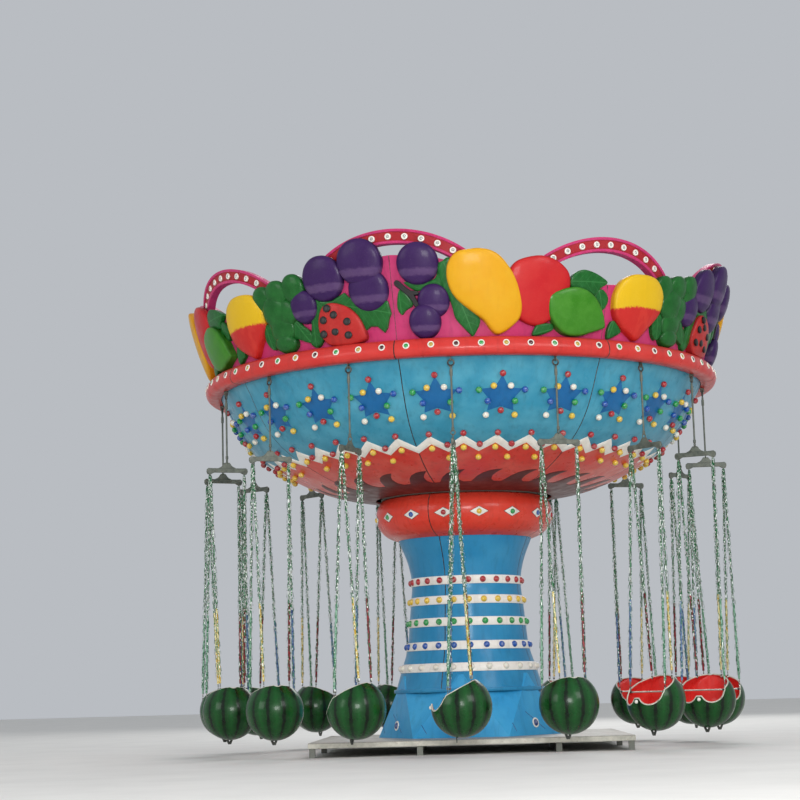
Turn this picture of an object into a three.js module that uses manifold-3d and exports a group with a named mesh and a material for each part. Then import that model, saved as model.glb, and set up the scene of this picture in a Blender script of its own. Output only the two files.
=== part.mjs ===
// Chair swing ride: a flared tower on a low steel deck carries a turning saucer with a fruit crown.
// Sixteen melon gondolas hang from the saucer's rim, each on a rod, a spreader bar and four chains.
// Millimetres, +Z up. The tower's axis is the Z axis, the ground is Z = 0 and the front is at -Y.
// Turns about the axis are in degrees from the front, positive towards +X.

import * as THREE from 'three';
import { mergeVertices } from 'three/addons/utils/BufferGeometryUtils.js';
import Module from 'manifold-3d';

const wasm = await Module();
wasm.setup();

// Driving dimensions: general
const GAP = 0.3;
const SEGMENTS = 8;
const SEGMENT_DEG = 360 / SEGMENTS;
const SEAM_DEG = -13;
const CHAIRS = 16;
const HANG_RADIUS = 2900;

// Driving dimensions: deck
const DECK_HALF = 1780;
const DECK_TOP = 160;
const PLATE = 8;
const BEAM_HEIGHT = 54;
const BEAM_WIDTH = 80;
const LEG = 64;
const LEG_ROOT = 20;
const LEG_X = [-1736, -560, 950, 1736];
const LEG_Y = [-1736, 0, 1736];

// Driving dimensions: tower, as radius and height
const SKIRT_PROFILE = [[1040, DECK_TOP + GAP], [985, 300], [925, 480], [870, 690]];
const SHELL_PROFILE = [
  [870, 690], [791, 950], [716, 1200], [688, 1480], [664, 1730], [646, 1960], [690, 2200], [790, 2460],
];
const COLLAR_PROFILE = [[800, 2460], [930, 2520], [1020, 2620], [1052, 2740], [1035, 2850], [985, 2930]];
const COLLAR_BORE = 740;
const FRP_WALL = 14;
const TOWER_SIDES = 24;
const MAST_RADIUS = 300;
const MAST_BORE = 240;
const MAST_TOP = 2640;
const SLEWING_OUTER = 560;
const SLEWING_BOTTOM = 2720;
const SLEWING_TOP = 2945;

// Driving dimensions: saucer
const BOWL_PROFILE = [
  [1050, 2950], [1300, 2985], [1560, 3040], [1880, 3160], [2190, 3325],
  [2410, 3475], [2590, 3670], [2720, 3890], [2800, 4060], [2866, 4190], [2876, 4300],
];
const BOWL_SPLIT = 4;
const SAUCER_SIDES = 48;
const RIM_PROFILE = [
  [2876.5, 4195], [2950, 4182], [3015, 4190], [3048, 4225],
  [3055, 4280], [3030, 4345], [2985, 4380], [2876.5, 4380],
];
const ARM_TOP = 4300;
const ARM_HEIGHT = 80;
const ARM_WIDTH = 60;
const ARM_REACH = 2829.9;
const HUB_RADIUS = 420;
const HUB_WALL = 60;
const HUB_FLANGE = 30;
const HUB_FLANGE_RADIUS = 990;
const COVER_RADIUS = 2862;
const COVER_EDGE = 30;
const COVER_SHOULDER = 600;
const COVER_RISE = 290;
const COVER_CROWN = 20;

// Driving dimensions: hanger eye
const EYE_RING = 32.5;
const EYE_WIRE = 7;
const EYE_SIDES = 8;
const PIVOT_Z = 4155;
const LUG_HOLE = 7.6;
const LUG_SIDES = 6;
const LUG_RADIUS = 22;
const LUG_THICK = 8;

// Driving dimensions: crown
const CROWN_BASE = 4380 + GAP;
const CROWN_RADIUS = 2906;
const CROWN_LEAN = 0.2875;
const PANEL_THICK = 25;
const PANEL_STRIPS = 6;
// The panel's top edge in equal steps from a high seam to a low one, dipping under the arches' feet
const PANEL_TOPS = [5270, 5240, 5120, 5080, 5040, 5000, 4970];
const ARC_RADIUS = 3100;
const FRUIT_FACE = 0.76;
const FRUIT_ROOT = 12;
const ARCH_WIDTH = 150;
const ARCH_DEPTH = 90;
const ARCH_HALF_DEG = 16.5;
const ARCH_STEPS = 10;
const ARCH_RISE = 330;
const HIGH_APEX = 5540;
const LOW_APEX = 5463;
const ARCH_SET_BACK = 3.9;
const STAY = 30;
const STAY_Z = 4900;
const STAY_ROD_RADIUS = 13;
const STAY_FOOT_RADIUS = 2560;
const STAY_FOOT_HALF = 60;
const STAY_FOOT_THICK = 14;

// Driving dimensions: hangers and gondolas
const ROD_RADIUS = 9;
const ROD_SIDES = 5;
const BAR_TOP = 3290;
const BAR_HEIGHT = 40;
const BAR_LENGTH = 440;
const BAR_WIDTH = 30;
const GUSSET_HEIGHT = 110;
const CHAIN_RADIUS = 9;
const CHAIN_SIDES = 4;
const GUSSET_FOOT = 200;
const GUSSET_HEAD = 44;
const GUSSET_THICK = 12;
const GONDOLA_Z = 520;
const GONDOLA_RADIUS = 320;
const GONDOLA_WALL = 26;
const SEAT_Z = -75;
const BACKREST_Y = -165;
const SEAT_FRONT = 60;
const MOUTH_Z = 192;
const MOUTH_SLOPE = 0.52;
const SCOOP = { x: 135, z: 75, radius: 112 };
const BACK_DIP = { z: 330, radius: 70 };
const LAP_BAR = { halfLength: 248, y: 130, z: 98, radius: 9 };
const LUG_BAR = 16;
const LUG_ROOT = 14;
const FOOT = { y: 60, top: -290, bottom: -365, headWidth: 100, tipWidth: 34, thick: 12 };
// Where each gondola has come to rest on its swivel, in degrees from facing the direction of travel
const SWIVEL_DEG = [0, -91, 0, 0, 0, 30, -29, 10, -15, 20, 0, -10, 30, 0, -25, 0];

const rad = THREE.MathUtils.degToRad;

function material(color, roughness, metalness = 0) {
  return new THREE.MeshStandardMaterial({ color, roughness, metalness });
}

const MATERIALS = {
  steel: material('#6b6e62', 0.5, 0.7),
  plate: material('#8c8d86', 0.6, 0.6),
  blue: material('#2e8db8', 0.3),
  bowlBlue: material('#4fa3be', 0.3),
  red: material('#c8402f', 0.3),
  rimRed: material('#d8403a', 0.35),
  pink: material('#cc417f', 0.4),
  melon: material('#1a4a2a', 0.35),
};

// Solids from three.js geometry and back

function toSolid(geometry) {
  const bare = geometry.clone();
  bare.deleteAttribute('normal');
  bare.deleteAttribute('uv');
  const merged = mergeVertices(bare, 1e-3);
  const index = [];
  for (let i = 0; i < merged.index.count; i += 3) {
    const [a, b, c] = [merged.index.getX(i), merged.index.getX(i + 1), merged.index.getX(i + 2)];
    if (a !== b && b !== c && c !== a) index.push(a, b, c);
  }
  return new wasm.Manifold(new wasm.Mesh({
    numProp: 3,
    vertProperties: new Float32Array(merged.attributes.position.array),
    triVerts: new Uint32Array(index),
  }));
}

function toGeometry(solid) {
  const mesh = solid.getMesh();
  const geometry = new THREE.BufferGeometry();
  geometry.setAttribute('position', new THREE.BufferAttribute(mesh.vertProperties, 3));
  geometry.setIndex(new THREE.BufferAttribute(mesh.triVerts, 1));
  geometry.computeVertexNormals();
  return geometry;
}

function join(geometries) {
  return geometries.map(toSolid).reduce((sum, solid) => sum.add(solid));
}

function boxBetween(low, high) {
  const size = high.map((value, i) => value - low[i]);
  const geometry = new THREE.BoxGeometry(...size);
  geometry.translate(low[0] + size[0] / 2, low[1] + size[1] / 2, low[2] + size[2] / 2);
  return geometry;
}

// A straight bar of round section from one point to another
function rodBetween(start, end, radius, sides) {
  const from = new THREE.Vector3(...start);
  const to = new THREE.Vector3(...end);
  const geometry = new THREE.CylinderGeometry(radius, radius, from.distanceTo(to), sides);
  const turn = new THREE.Quaternion().setFromUnitVectors(
    new THREE.Vector3(0, 1, 0),
    to.clone().sub(from).normalize(),
  );
  geometry.applyQuaternion(turn);
  const middle = from.add(to).multiplyScalar(0.5);
  geometry.translate(middle.x, middle.y, middle.z);
  return geometry;
}

// A closed profile of [radius, height] points, outer wall upwards first, turned about Z from a given angle
function turned(profile, sides, startDeg = 0) {
  const points = [...profile, profile[0]].map(([r, z]) => new THREE.Vector2(r, z));
  const geometry = new THREE.LatheGeometry(points, sides, rad(startDeg));
  geometry.rotateX(Math.PI / 2);
  return geometry;
}

// The profile of a thin shell whose outer face is given from bottom to top; the inner face keeps every
// point, or every second one
function wallProfile(outer, wall, step = 1) {
  const inner = outer.map(([r, z], i) => {
    const [r0, z0] = outer[Math.max(i - 1, 0)];
    const [r1, z1] = outer[Math.min(i + 1, outer.length - 1)];
    const length = Math.hypot(r1 - r0, z1 - z0);
    return [r - (wall * (z1 - z0)) / length, z + (wall * (r1 - r0)) / length];
  });
  inner[0][1] = outer[0][1];
  inner[inner.length - 1][1] = outer[outer.length - 1][1];
  const kept = inner.filter((point, i) => i % step === 0 || i === inner.length - 1);
  return [...outer, ...kept.reverse()];
}

const group = new THREE.Group();

function addPart(name, geometry, finish, parent = group) {
  const mesh = new THREE.Mesh(geometry, finish);
  mesh.name = name;
  parent.add(mesh);
  return mesh;
}

// A turned group whose local -Y points at the given azimuth
function turnedGroup(deg) {
  const holder = new THREE.Group();
  holder.rotation.z = rad(deg);
  group.add(holder);
  return holder;
}

// Deck

// A square of beams with two beams across it and one along it, open between them, on square legs
function baseFrame() {
  const top = DECK_TOP - PLATE - GAP;
  const bottom = top - BEAM_HEIGHT;
  const half = DECK_HALF - 4;
  const inner = half - BEAM_WIDTH;
  const halfBeam = BEAM_WIDTH / 2;
  let frame = toSolid(boxBetween([-half, -half, bottom], [half, half, top]));
  const bays = [
    [-inner, LEG_X[1] - halfBeam], [LEG_X[1] + halfBeam, LEG_X[2] - halfBeam], [LEG_X[2] + halfBeam, inner],
  ];
  for (const [left, right] of bays) {
    for (const [front, back] of [[-inner, -halfBeam], [halfBeam, inner]]) {
      frame = frame.subtract(toSolid(boxBetween([left, front, bottom - 10], [right, back, top + 10])));
    }
  }
  for (const x of LEG_X) {
    for (const y of LEG_Y) {
      const leg = boxBetween([x - LEG / 2, y - LEG / 2, 0], [x + LEG / 2, y + LEG / 2, bottom + LEG_ROOT]);
      frame = frame.add(toSolid(leg));
    }
  }
  return toGeometry(frame);
}

function addDeck() {
  addPart('base_frame', baseFrame(), MATERIALS.steel);
  const plate = boxBetween([-DECK_HALF, -DECK_HALF, DECK_TOP - PLATE], [DECK_HALF, DECK_HALF, DECK_TOP]);
  addPart('base_deck', plate, MATERIALS.plate);
}

// Tower

function addTower() {
  const skirt = SKIRT_PROFILE.map((point) => [...point]);
  addPart('tower_skirt', turned(wallProfile(skirt, FRP_WALL), TOWER_SIDES), MATERIALS.blue);
  const shell = SHELL_PROFILE.map(([r, z], i) => [r, i === 0 ? z + GAP : z]);
  addPart('tower_shell', turned(wallProfile(shell, FRP_WALL), TOWER_SIDES), MATERIALS.blue);
  const collar = COLLAR_PROFILE.map(([r, z], i) => [r, i === 0 ? z + GAP : z]);
  const [bottom, top] = [collar[0], collar[collar.length - 1]];
  collar.push([COLLAR_BORE, top[1]], [COLLAR_BORE, bottom[1]]);
  addPart('tower_collar', turned(collar, TOWER_SIDES), MATERIALS.red);
  const mast = [
    [MAST_RADIUS, DECK_TOP + GAP], [MAST_RADIUS, MAST_TOP], [SLEWING_OUTER, SLEWING_BOTTOM],
    [SLEWING_OUTER, SLEWING_TOP - GAP], [MAST_BORE, SLEWING_TOP - GAP], [MAST_BORE, DECK_TOP + GAP],
  ];
  addPart('tower_mast', turned(mast, 24), MATERIALS.steel);
}

// Saucer

function rotorFrame() {
  const flangeTop = SLEWING_TOP + HUB_FLANGE;
  const hub = [
    [HUB_FLANGE_RADIUS, SLEWING_TOP], [HUB_FLANGE_RADIUS, flangeTop], [HUB_RADIUS, flangeTop],
    [HUB_RADIUS, ARM_TOP], [HUB_RADIUS - HUB_WALL, ARM_TOP], [HUB_RADIUS - HUB_WALL, SLEWING_TOP],
  ];
  const pieces = [turned(hub, 24, SEAM_DEG)];
  for (let i = 0; i < CHAIRS; i += 1) {
    const arm = boxBetween(
      [-ARM_WIDTH / 2, -ARM_REACH, ARM_TOP - ARM_HEIGHT],
      [ARM_WIDTH / 2, -HUB_RADIUS + 30, ARM_TOP],
    );
    arm.rotateZ(rad(chairDeg(i)));
    pieces.push(arm);
  }
  return toGeometry(join(pieces));
}

// A rounded plate under the rim with a hole for the hanger's eye, thin across the swing
function hangerLug() {
  const shape = new THREE.Shape();
  shape.moveTo(-LUG_RADIUS, 60);
  shape.lineTo(-LUG_RADIUS, 0);
  for (let i = 1; i < 3; i += 1) {
    const angle = Math.PI + (i * Math.PI) / 3;
    shape.lineTo(LUG_RADIUS * Math.cos(angle), LUG_RADIUS * Math.sin(angle));
  }
  shape.lineTo(LUG_RADIUS, 0);
  shape.lineTo(LUG_RADIUS, 60);
  const hole = new THREE.Path();
  const corner = LUG_HOLE / Math.cos(Math.PI / LUG_SIDES);
  for (let i = 0; i < LUG_SIDES; i += 1) {
    const angle = (-i * 2 * Math.PI) / LUG_SIDES;
    const point = [corner * Math.cos(angle), corner * Math.sin(angle)];
    if (i === 0) hole.moveTo(...point);
    else hole.lineTo(...point);
  }
  shape.holes.push(hole);
  const plate = new THREE.ExtrudeGeometry(shape, { depth: LUG_THICK, bevelEnabled: false });
  plate.translate(0, 0, -LUG_THICK / 2);
  plate.rotateX(Math.PI / 2);
  plate.rotateZ(Math.PI / 2);
  plate.translate(0, -HANG_RADIUS, PIVOT_Z);
  return plate;
}

function rimRing() {
  const pieces = [turned(RIM_PROFILE, SAUCER_SIDES, SEAM_DEG)];
  for (let i = 0; i < CHAIRS; i += 1) {
    const lug = hangerLug();
    lug.rotateZ(rad(chairDeg(i)));
    pieces.push(lug);
  }
  return toGeometry(join(pieces));
}

function topCover() {
  const edge = ARM_TOP + GAP;
  const shoulder = edge + COVER_EDGE + COVER_RISE;
  return turned([
    [COVER_RADIUS, edge], [COVER_RADIUS, edge + COVER_EDGE], [COVER_SHOULDER, shoulder],
    [0, shoulder + COVER_CROWN], [0, edge + COVER_RISE],
  ], SAUCER_SIDES, SEAM_DEG);
}

function addSaucer() {
  addPart('rotor_frame', rotorFrame(), MATERIALS.steel);
  const lower = BOWL_PROFILE.slice(0, BOWL_SPLIT + 1).map((point) => [...point]);
  addPart('bowl_lower', turned(wallProfile(lower, FRP_WALL, 2), SAUCER_SIDES, SEAM_DEG), MATERIALS.red);
  const upper = BOWL_PROFILE.slice(BOWL_SPLIT).map(([r, z], i) => [r, i === 0 ? z + GAP : z]);
  addPart('bowl_upper', turned(wallProfile(upper, FRP_WALL, 2), SAUCER_SIDES, SEAM_DEG), MATERIALS.bowlBlue);
  addPart('rim_ring', rimRing(), MATERIALS.rimRed);
  addPart('top_cover', topCover(), MATERIALS.bowlBlue);
}

// Crown

// Lays a flat piece on the leaning crown: x along the rim, y as height, z outwards from the panel's face
function onCrown(geometry, startDeg) {
  const position = geometry.attributes.position;
  for (let i = 0; i < position.count; i += 1) {
    const angle = rad(startDeg) + position.getX(i) / ARC_RADIUS;
    const z = position.getY(i);
    const r = crownRadius(z) + position.getZ(i);
    position.setXYZ(i, r * Math.sin(angle), -r * Math.cos(angle), z);
  }
  return geometry;
}

function crownRadius(z) {
  return CROWN_RADIUS + CROWN_LEAN * (z - CROWN_BASE);
}

const SEGMENT_ARC = ARC_RADIUS * rad(SEGMENT_DEG);

function crownPanel(highSeamFirst) {
  const panel = new THREE.BoxGeometry(SEGMENT_ARC, 1, PANEL_THICK, PANEL_STRIPS, 1, 1);
  const position = panel.attributes.position;
  for (let i = 0; i < position.count; i += 1) {
    const step = Math.round((position.getX(i) / SEGMENT_ARC + 0.5) * PANEL_STRIPS);
    const top = PANEL_TOPS[highSeamFirst ? step : PANEL_STRIPS - step];
    const seamGap = { 0: GAP, [PANEL_STRIPS]: -GAP }[step] ?? 0;
    position.setX(i, (step * SEGMENT_ARC) / PANEL_STRIPS + seamGap);
    position.setY(i, position.getY(i) > 0 ? top : CROWN_BASE);
    position.setZ(i, position.getZ(i) - PANEL_THICK / 2);
  }
  return panel;
}

// A fruit as a domed button in the panel's flat frame. Its corners are [x, height], clockwise from outside.
function fruit(depth, corners) {
  const sides = corners.length;
  const centre = [0, 1].map((axis) => corners.reduce((sum, corner) => sum + corner[axis], 0) / sides);
  const button = new THREE.CylinderGeometry(FRUIT_FACE, 1, depth + FRUIT_ROOT, sides);
  const position = button.attributes.position;
  for (let i = 0; i < position.count; i += 1) {
    const [across, out, along] = [position.getX(i), position.getY(i), position.getZ(i)];
    const reach = Math.hypot(across, along);
    const turn = Math.round((Math.atan2(across, along) / (2 * Math.PI)) * sides);
    const corner = corners[(2 * sides - turn) % sides];
    const [x, z] = [0, 1].map((axis) => centre[axis] + reach * (corner[axis] - centre[axis]));
    position.setXYZ(i, x, z, out + (depth - FRUIT_ROOT) / 2);
  }
  return button;
}

function plum(depth, x, z, radius) {
  const corners = [];
  for (let i = 0; i < 8; i += 1) {
    const angle = (-i * Math.PI) / 4;
    corners.push([x + radius * Math.cos(angle), z + radius * Math.sin(angle)]);
  }
  return fruit(depth, corners);
}

// A leaf as a flat plate on the panel, with the same kind of corners
function leaf(depth, corners) {
  const outline = new THREE.Shape(corners.map(([x, z]) => new THREE.Vector2(x, z)).reverse());
  const plate = new THREE.ExtrudeGeometry(outline, { depth: depth + FRUIT_ROOT, bevelEnabled: false });
  return plate.translate(0, 0, -FRUIT_ROOT);
}

// Panel A, from a high seam to a low one: three plums on a stem, a mango, an apple and a green mango
function orchardFruit() {
  return [
    plum(120, 303, 5154, 221),
    plum(95, 449, 4767, 176),
    plum(125, 346, 4555, 180),
    fruit(130, [
      [880, 5278], [1059, 5255], [1249, 5089], [1380, 4820], [1375, 4561], [1223, 4430], [1088, 4420],
      [890, 4613], [699, 4766], [604, 4966], [624, 5149], [739, 5256],
    ]),
    fruit(100, [
      [1550, 5217], [1700, 5197], [1837, 5129], [1922, 4990], [1915, 4790], [1820, 4620], [1640, 4510],
      [1480, 4500], [1300, 4620], [1240, 4860], [1268, 5060], [1386, 5170],
    ]),
    fruit(135, [
      [1817, 4862], [1969, 4899], [2130, 4875], [2284, 4755], [2401, 4523], [2375, 4490], [2245, 4450],
      [2020, 4405], [1822, 4458], [1742, 4555], [1690, 4690], [1710, 4810],
    ]),
    leaf(65, [
      [511, 5118], [560, 5160], [700, 4900], [860, 4700], [948, 4526], [873, 4392], [755, 4493], [600, 4800],
    ]),
    leaf(70, [
      [1940, 5040], [2079, 5086], [2324, 5021], [2394, 4962], [2440, 4820], [2365, 4685], [2200, 4700],
      [1940, 4850],
    ]),
  ];
}

// Panel B, from a low seam to a high one: a peach, a green bunch, grapes and a melon slice
function vineyardFruit() {
  return [
    fruit(130, [
      [430, 5103], [645, 5060], [742, 4960], [775, 4820], [730, 4640], [600, 4500], [467, 4405], [290, 4470],
      [120, 4610], [60, 4790], [85, 4937], [230, 5070],
    ]),
    fruit(105, [
      [846, 5140], [1040, 5160], [1230, 5208], [1400, 5137], [1400, 5000], [1250, 4850], [1150, 4690],
      [980, 4640], [810, 4700], [690, 5020],
    ]),
    fruit(110, [
      [987, 4590], [1110, 4570], [1204, 4480], [1080, 4386], [960, 4386], [870, 4480],
    ]),
    leaf(60, [[754, 4690], [845, 4700], [890, 4524], [810, 4447], [728, 4514]]),
    leaf(60, [[1130, 4760], [1312, 4660], [1420, 4458], [1273, 4485], [1130, 4560]]),
    plum(110, 1374, 4835, 175),
    plum(115, 1670, 5096, 238),
    plum(130, 2120, 5210, 250),
    plum(105, 2180, 4925, 225),
    fruit(115, [
      [1668, 4822], [1800, 4825], [1922, 4773], [2030, 4670], [2108, 4470], [2033, 4392], [1840, 4384],
      [1640, 4400], [1545, 4530], [1560, 4700],
    ]),
    leaf(60, [[1960, 4890], [2380, 4860], [2409, 4667], [2311, 4475], [2154, 4551], [2000, 4640]]),
  ];
}

function trimToSegment(solid, startDeg) {
  const reach = 1.4 * ARC_RADIUS;
  const height = HIGH_APEX - CROWN_BASE;
  const wedge = new THREE.Shape();
  const seam = GAP / ARC_RADIUS;
  wedge.moveTo(0, 0);
  for (const angle of [seam, rad(SEGMENT_DEG / 2), rad(SEGMENT_DEG) - seam]) {
    wedge.lineTo(reach * Math.sin(angle), -reach * Math.cos(angle));
  }
  const cutter = new THREE.ExtrudeGeometry(wedge, { depth: height, bevelEnabled: false });
  cutter.translate(0, 0, CROWN_BASE);
  cutter.rotateZ(rad(startDeg));
  return solid.intersect(toSolid(cutter));
}

function addCrown() {
  for (let i = 0; i < SEGMENTS; i += 1) {
    const highSeamFirst = i % 2 === 0;
    const startDeg = SEAM_DEG + i * SEGMENT_DEG;
    const relief = highSeamFirst ? orchardFruit() : vineyardFruit();
    const pieces = [crownPanel(highSeamFirst), ...relief].map((piece) => onCrown(piece, startDeg));
    addPart(`crown_panel_${i + 1}`, toGeometry(trimToSegment(join(pieces), startDeg)), MATERIALS.pink);
  }
}

// A flat arc of rectangular section over a seam, bent with the crown; its feet stand behind the fruit
function crownArch(apexZ) {
  const halfSpan = ARC_RADIUS * rad(ARCH_HALF_DEG);
  const radius = (halfSpan * halfSpan + ARCH_RISE * ARCH_RISE) / (2 * ARCH_RISE);
  const halfAngle = Math.asin(halfSpan / radius);
  const arch = new THREE.BoxGeometry(1, ARCH_WIDTH, ARCH_DEPTH, ARCH_STEPS, 1, 1);
  const position = arch.attributes.position;
  for (let i = 0; i < position.count; i += 1) {
    const angle = 2 * halfAngle * position.getX(i);
    const reach = radius + position.getY(i);
    const x = reach * Math.sin(angle);
    const y = apexZ - ARCH_WIDTH / 2 - radius + reach * Math.cos(angle);
    position.setXYZ(i, x, y, position.getZ(i) - PANEL_THICK - ARCH_DEPTH / 2 - ARCH_SET_BACK);
  }
  return arch;
}

function addArches() {
  for (let i = 0; i < SEGMENTS; i += 1) {
    const arch = crownArch(i % 2 === 0 ? HIGH_APEX : LOW_APEX);
    addPart(`crown_arch_${i + 1}`, onCrown(arch, SEAM_DEG + i * SEGMENT_DEG), MATERIALS.pink);
  }
}

// A ring behind the panels on slanted stays, one behind each panel, with foot plates on the cover
function crownStays() {
  const outer = (z) => crownRadius(z) - PANEL_THICK - GAP;
  const inner = outer(STAY_Z) - STAY;
  const ring = [
    [outer(STAY_Z), STAY_Z], [outer(STAY_Z + STAY), STAY_Z + STAY], [inner, STAY_Z + STAY], [inner, STAY_Z],
  ];
  const slope = COVER_RISE / (COVER_RADIUS - COVER_SHOULDER);
  const fromEdge = COVER_RADIUS - STAY_FOOT_RADIUS + STAY_FOOT_HALF;
  const footZ = ARM_TOP + GAP + COVER_EDGE + slope * fromEdge;
  const pieces = [turned(ring, SAUCER_SIDES, SEAM_DEG)];
  for (let i = 0; i < SEGMENTS; i += 1) {
    const foot = [0, -STAY_FOOT_RADIUS, footZ + STAY_FOOT_THICK / 2];
    const head = [0, -inner, STAY_Z + STAY / 2];
    const stay = rodBetween(foot, head, STAY_ROD_RADIUS, ROD_SIDES);
    const plate = boxBetween(
      [-STAY_FOOT_HALF, -STAY_FOOT_RADIUS - STAY_FOOT_HALF, footZ + GAP],
      [STAY_FOOT_HALF, -STAY_FOOT_RADIUS + STAY_FOOT_HALF, footZ + STAY_FOOT_THICK],
    );
    for (const piece of [stay, plate]) {
      pieces.push(piece.rotateZ(rad(SEAM_DEG + (i + 0.5) * SEGMENT_DEG)));
    }
  }
  return toGeometry(join(pieces));
}

// Hangers and gondolas

function chairDeg(i) {
  return SEAM_DEG + SEGMENT_DEG / 4 + (i * 360) / CHAIRS;
}

// The octagonal eye: its flat top side runs through the lug's hole, along the tangent
function hangerEye() {
  const section = [];
  for (let i = 0; i < 5; i += 1) {
    const angle = (i * 2 * Math.PI) / 5;
    section.push([EYE_RING + EYE_WIRE * Math.cos(angle), EYE_WIRE * Math.sin(angle)]);
  }
  const ring = turned(section, EYE_SIDES, 180 / EYE_SIDES);
  ring.rotateX(Math.PI / 2);
  ring.translate(0, 0, PIVOT_Z - EYE_RING * Math.cos(Math.PI / EYE_SIDES));
  return ring;
}

// The four chains: across and along the bar at the top, and the tops of their lugs on the gondola
const CHAINS = [
  { side: -1, topY: 6, bottomX: 246, bottomY: 128, lugTop: 165 },
  { side: 1, topY: 6, bottomX: 246, bottomY: 128, lugTop: 165 },
  { side: -1, topY: -6, bottomX: 140, bottomY: -110, lugTop: 272 },
  { side: 1, topY: -6, bottomX: 140, bottomY: -110, lugTop: 272 },
];
const CHAIN_INSET = 18;
const CHAIN_CLEAR = 1.3;

function hanger() {
  const eyeBottom = PIVOT_Z - 2 * EYE_RING * Math.cos(Math.PI / EYE_SIDES) - EYE_WIRE;
  const gusset = new THREE.Shape();
  gusset.moveTo(-GUSSET_FOOT / 2, 0);
  gusset.lineTo(GUSSET_FOOT / 2, 0);
  gusset.lineTo(GUSSET_HEAD / 2, GUSSET_HEIGHT);
  gusset.lineTo(-GUSSET_HEAD / 2, GUSSET_HEIGHT);
  const plate = new THREE.ExtrudeGeometry(gusset, { depth: GUSSET_THICK, bevelEnabled: false });
  plate.translate(0, -5, -GUSSET_THICK / 2);
  plate.rotateX(Math.PI / 2);
  plate.translate(0, 0, BAR_TOP);
  const pieces = [
    hangerEye(),
    rodBetween([0, 0, BAR_TOP + GUSSET_HEIGHT / 2], [0, 0, eyeBottom + EYE_WIRE], ROD_RADIUS, ROD_SIDES),
    plate,
    boxBetween(
      [-BAR_LENGTH / 2, -BAR_WIDTH / 2, BAR_TOP - BAR_HEIGHT],
      [BAR_LENGTH / 2, BAR_WIDTH / 2, BAR_TOP],
    ),
  ];
  for (const chain of CHAINS) {
    pieces.push(rodBetween(
      [chain.side * (BAR_LENGTH / 2 - CHAIN_INSET), chain.topY, BAR_TOP - BAR_HEIGHT / 2],
      [chain.side * chain.bottomX, chain.bottomY, GONDOLA_Z + chain.lugTop + CHAIN_CLEAR],
      CHAIN_RADIUS,
      CHAIN_SIDES,
    ));
  }
  return pieces;
}

// A cylinder that lies along Y, as a cutter
function cutterAlongY({ x = 0, z, radius }, from, to, sides) {
  return toSolid(rodBetween([x, from, z], [x, to, z], radius, sides));
}

// The V-shaped foot plate under the shell
function gondolaFoot() {
  const { y, top, bottom, headWidth, tipWidth, thick } = FOOT;
  const outline = new THREE.Shape();
  outline.moveTo(-tipWidth / 2, bottom);
  outline.lineTo(tipWidth / 2, bottom);
  outline.lineTo(headWidth / 2, top);
  outline.lineTo(-headWidth / 2, top);
  const plate = new THREE.ExtrudeGeometry(outline, { depth: thick, bevelEnabled: false });
  plate.rotateX(Math.PI / 2);
  return toSolid(plate.translate(0, y + thick / 2, 0));
}

// A melon shell, open at the front and top. The front wall has a scoop for each leg with a peak between.
function gondola() {
  const outer = new THREE.SphereGeometry(GONDOLA_RADIUS, 12, 6);
  outer.rotateX(Math.PI / 2);
  const inner = new THREE.SphereGeometry(GONDOLA_RADIUS - GONDOLA_WALL, 10, 5);
  inner.rotateX(Math.PI / 2);
  const size = 2 * GONDOLA_RADIUS;
  const seat = boxBetween([-size, -size, -size], [size, SEAT_FRONT, SEAT_Z]);
  const backrest = boxBetween([-size, -size, -size], [size, BACKREST_Y, size]);
  const cavity = toSolid(inner).subtract(toSolid(seat)).subtract(toSolid(backrest));
  const mouth = boxBetween([-size, -size, 0], [size, size, size]);
  mouth.rotateX(-Math.atan(MOUTH_SLOPE));
  mouth.translate(0, 0, MOUTH_Z);
  let solid = toSolid(outer).subtract(cavity).subtract(toSolid(mouth));
  solid = solid.subtract(cutterAlongY(BACK_DIP, -size, BACKREST_Y + GONDOLA_WALL, 6));
  for (const side of [-1, 1]) {
    solid = solid.subtract(cutterAlongY({ ...SCOOP, x: side * SCOOP.x }, LAP_BAR.y, size, 8));
  }
  const { halfLength, y, z, radius } = LAP_BAR;
  solid = solid.add(toSolid(rodBetween([-halfLength, y, z], [halfLength, y, z], radius, 4)));
  for (const chain of CHAINS) {
    const [lugX, lugY] = [chain.side * chain.bottomX, chain.bottomY];
    const lug = boxBetween(
      [lugX - LUG_BAR / 2, lugY - LUG_BAR / 2, MOUTH_Z - MOUTH_SLOPE * lugY - LUG_ROOT],
      [lugX + LUG_BAR / 2, lugY + LUG_BAR / 2, chain.lugTop],
    );
    solid = solid.add(toSolid(lug));
  }
  return solid.add(gondolaFoot());
}

function addChairs() {
  const shell = toGeometry(gondola());
  shell.translate(0, 0, GONDOLA_Z);
  const [eye, ...below] = hanger();
  for (let i = 0; i < CHAIRS; i += 1) {
    const number = String(i + 1).padStart(2, '0');
    const holder = turnedGroup(chairDeg(i));
    const facing = rad(SWIVEL_DEG[i] + 90);
    const turnedBelow = below.map((piece) => piece.clone().rotateZ(facing));
    const hangerSolid = toGeometry(join([eye, ...turnedBelow]));
    const hangerMesh = addPart(`hanger_${number}`, hangerSolid, MATERIALS.steel, holder);
    hangerMesh.position.y = -HANG_RADIUS;
    const shellMesh = addPart(`gondola_${number}`, shell.clone().rotateZ(facing), MATERIALS.melon, holder);
    shellMesh.position.y = -HANG_RADIUS;
  }
}

addDeck();
addTower();
addSaucer();
addCrown();
addArches();
addPart('crown_stays', crownStays(), MATERIALS.steel);
addChairs();

export default group;
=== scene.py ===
"""Chair swing ride: the detailed visual pieces on the shared CAD frame, in metres."""

import logging
from dataclasses import dataclass, field
from enum import Enum
from math import asin, copysign, cos, degrees, exp, hypot, pi, radians, sin, sqrt
from typing import Callable

import bpy
import numpy as np
from mathutils import Matrix, Vector
from mathutils.geometry import delaunay_2d_cdt


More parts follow.
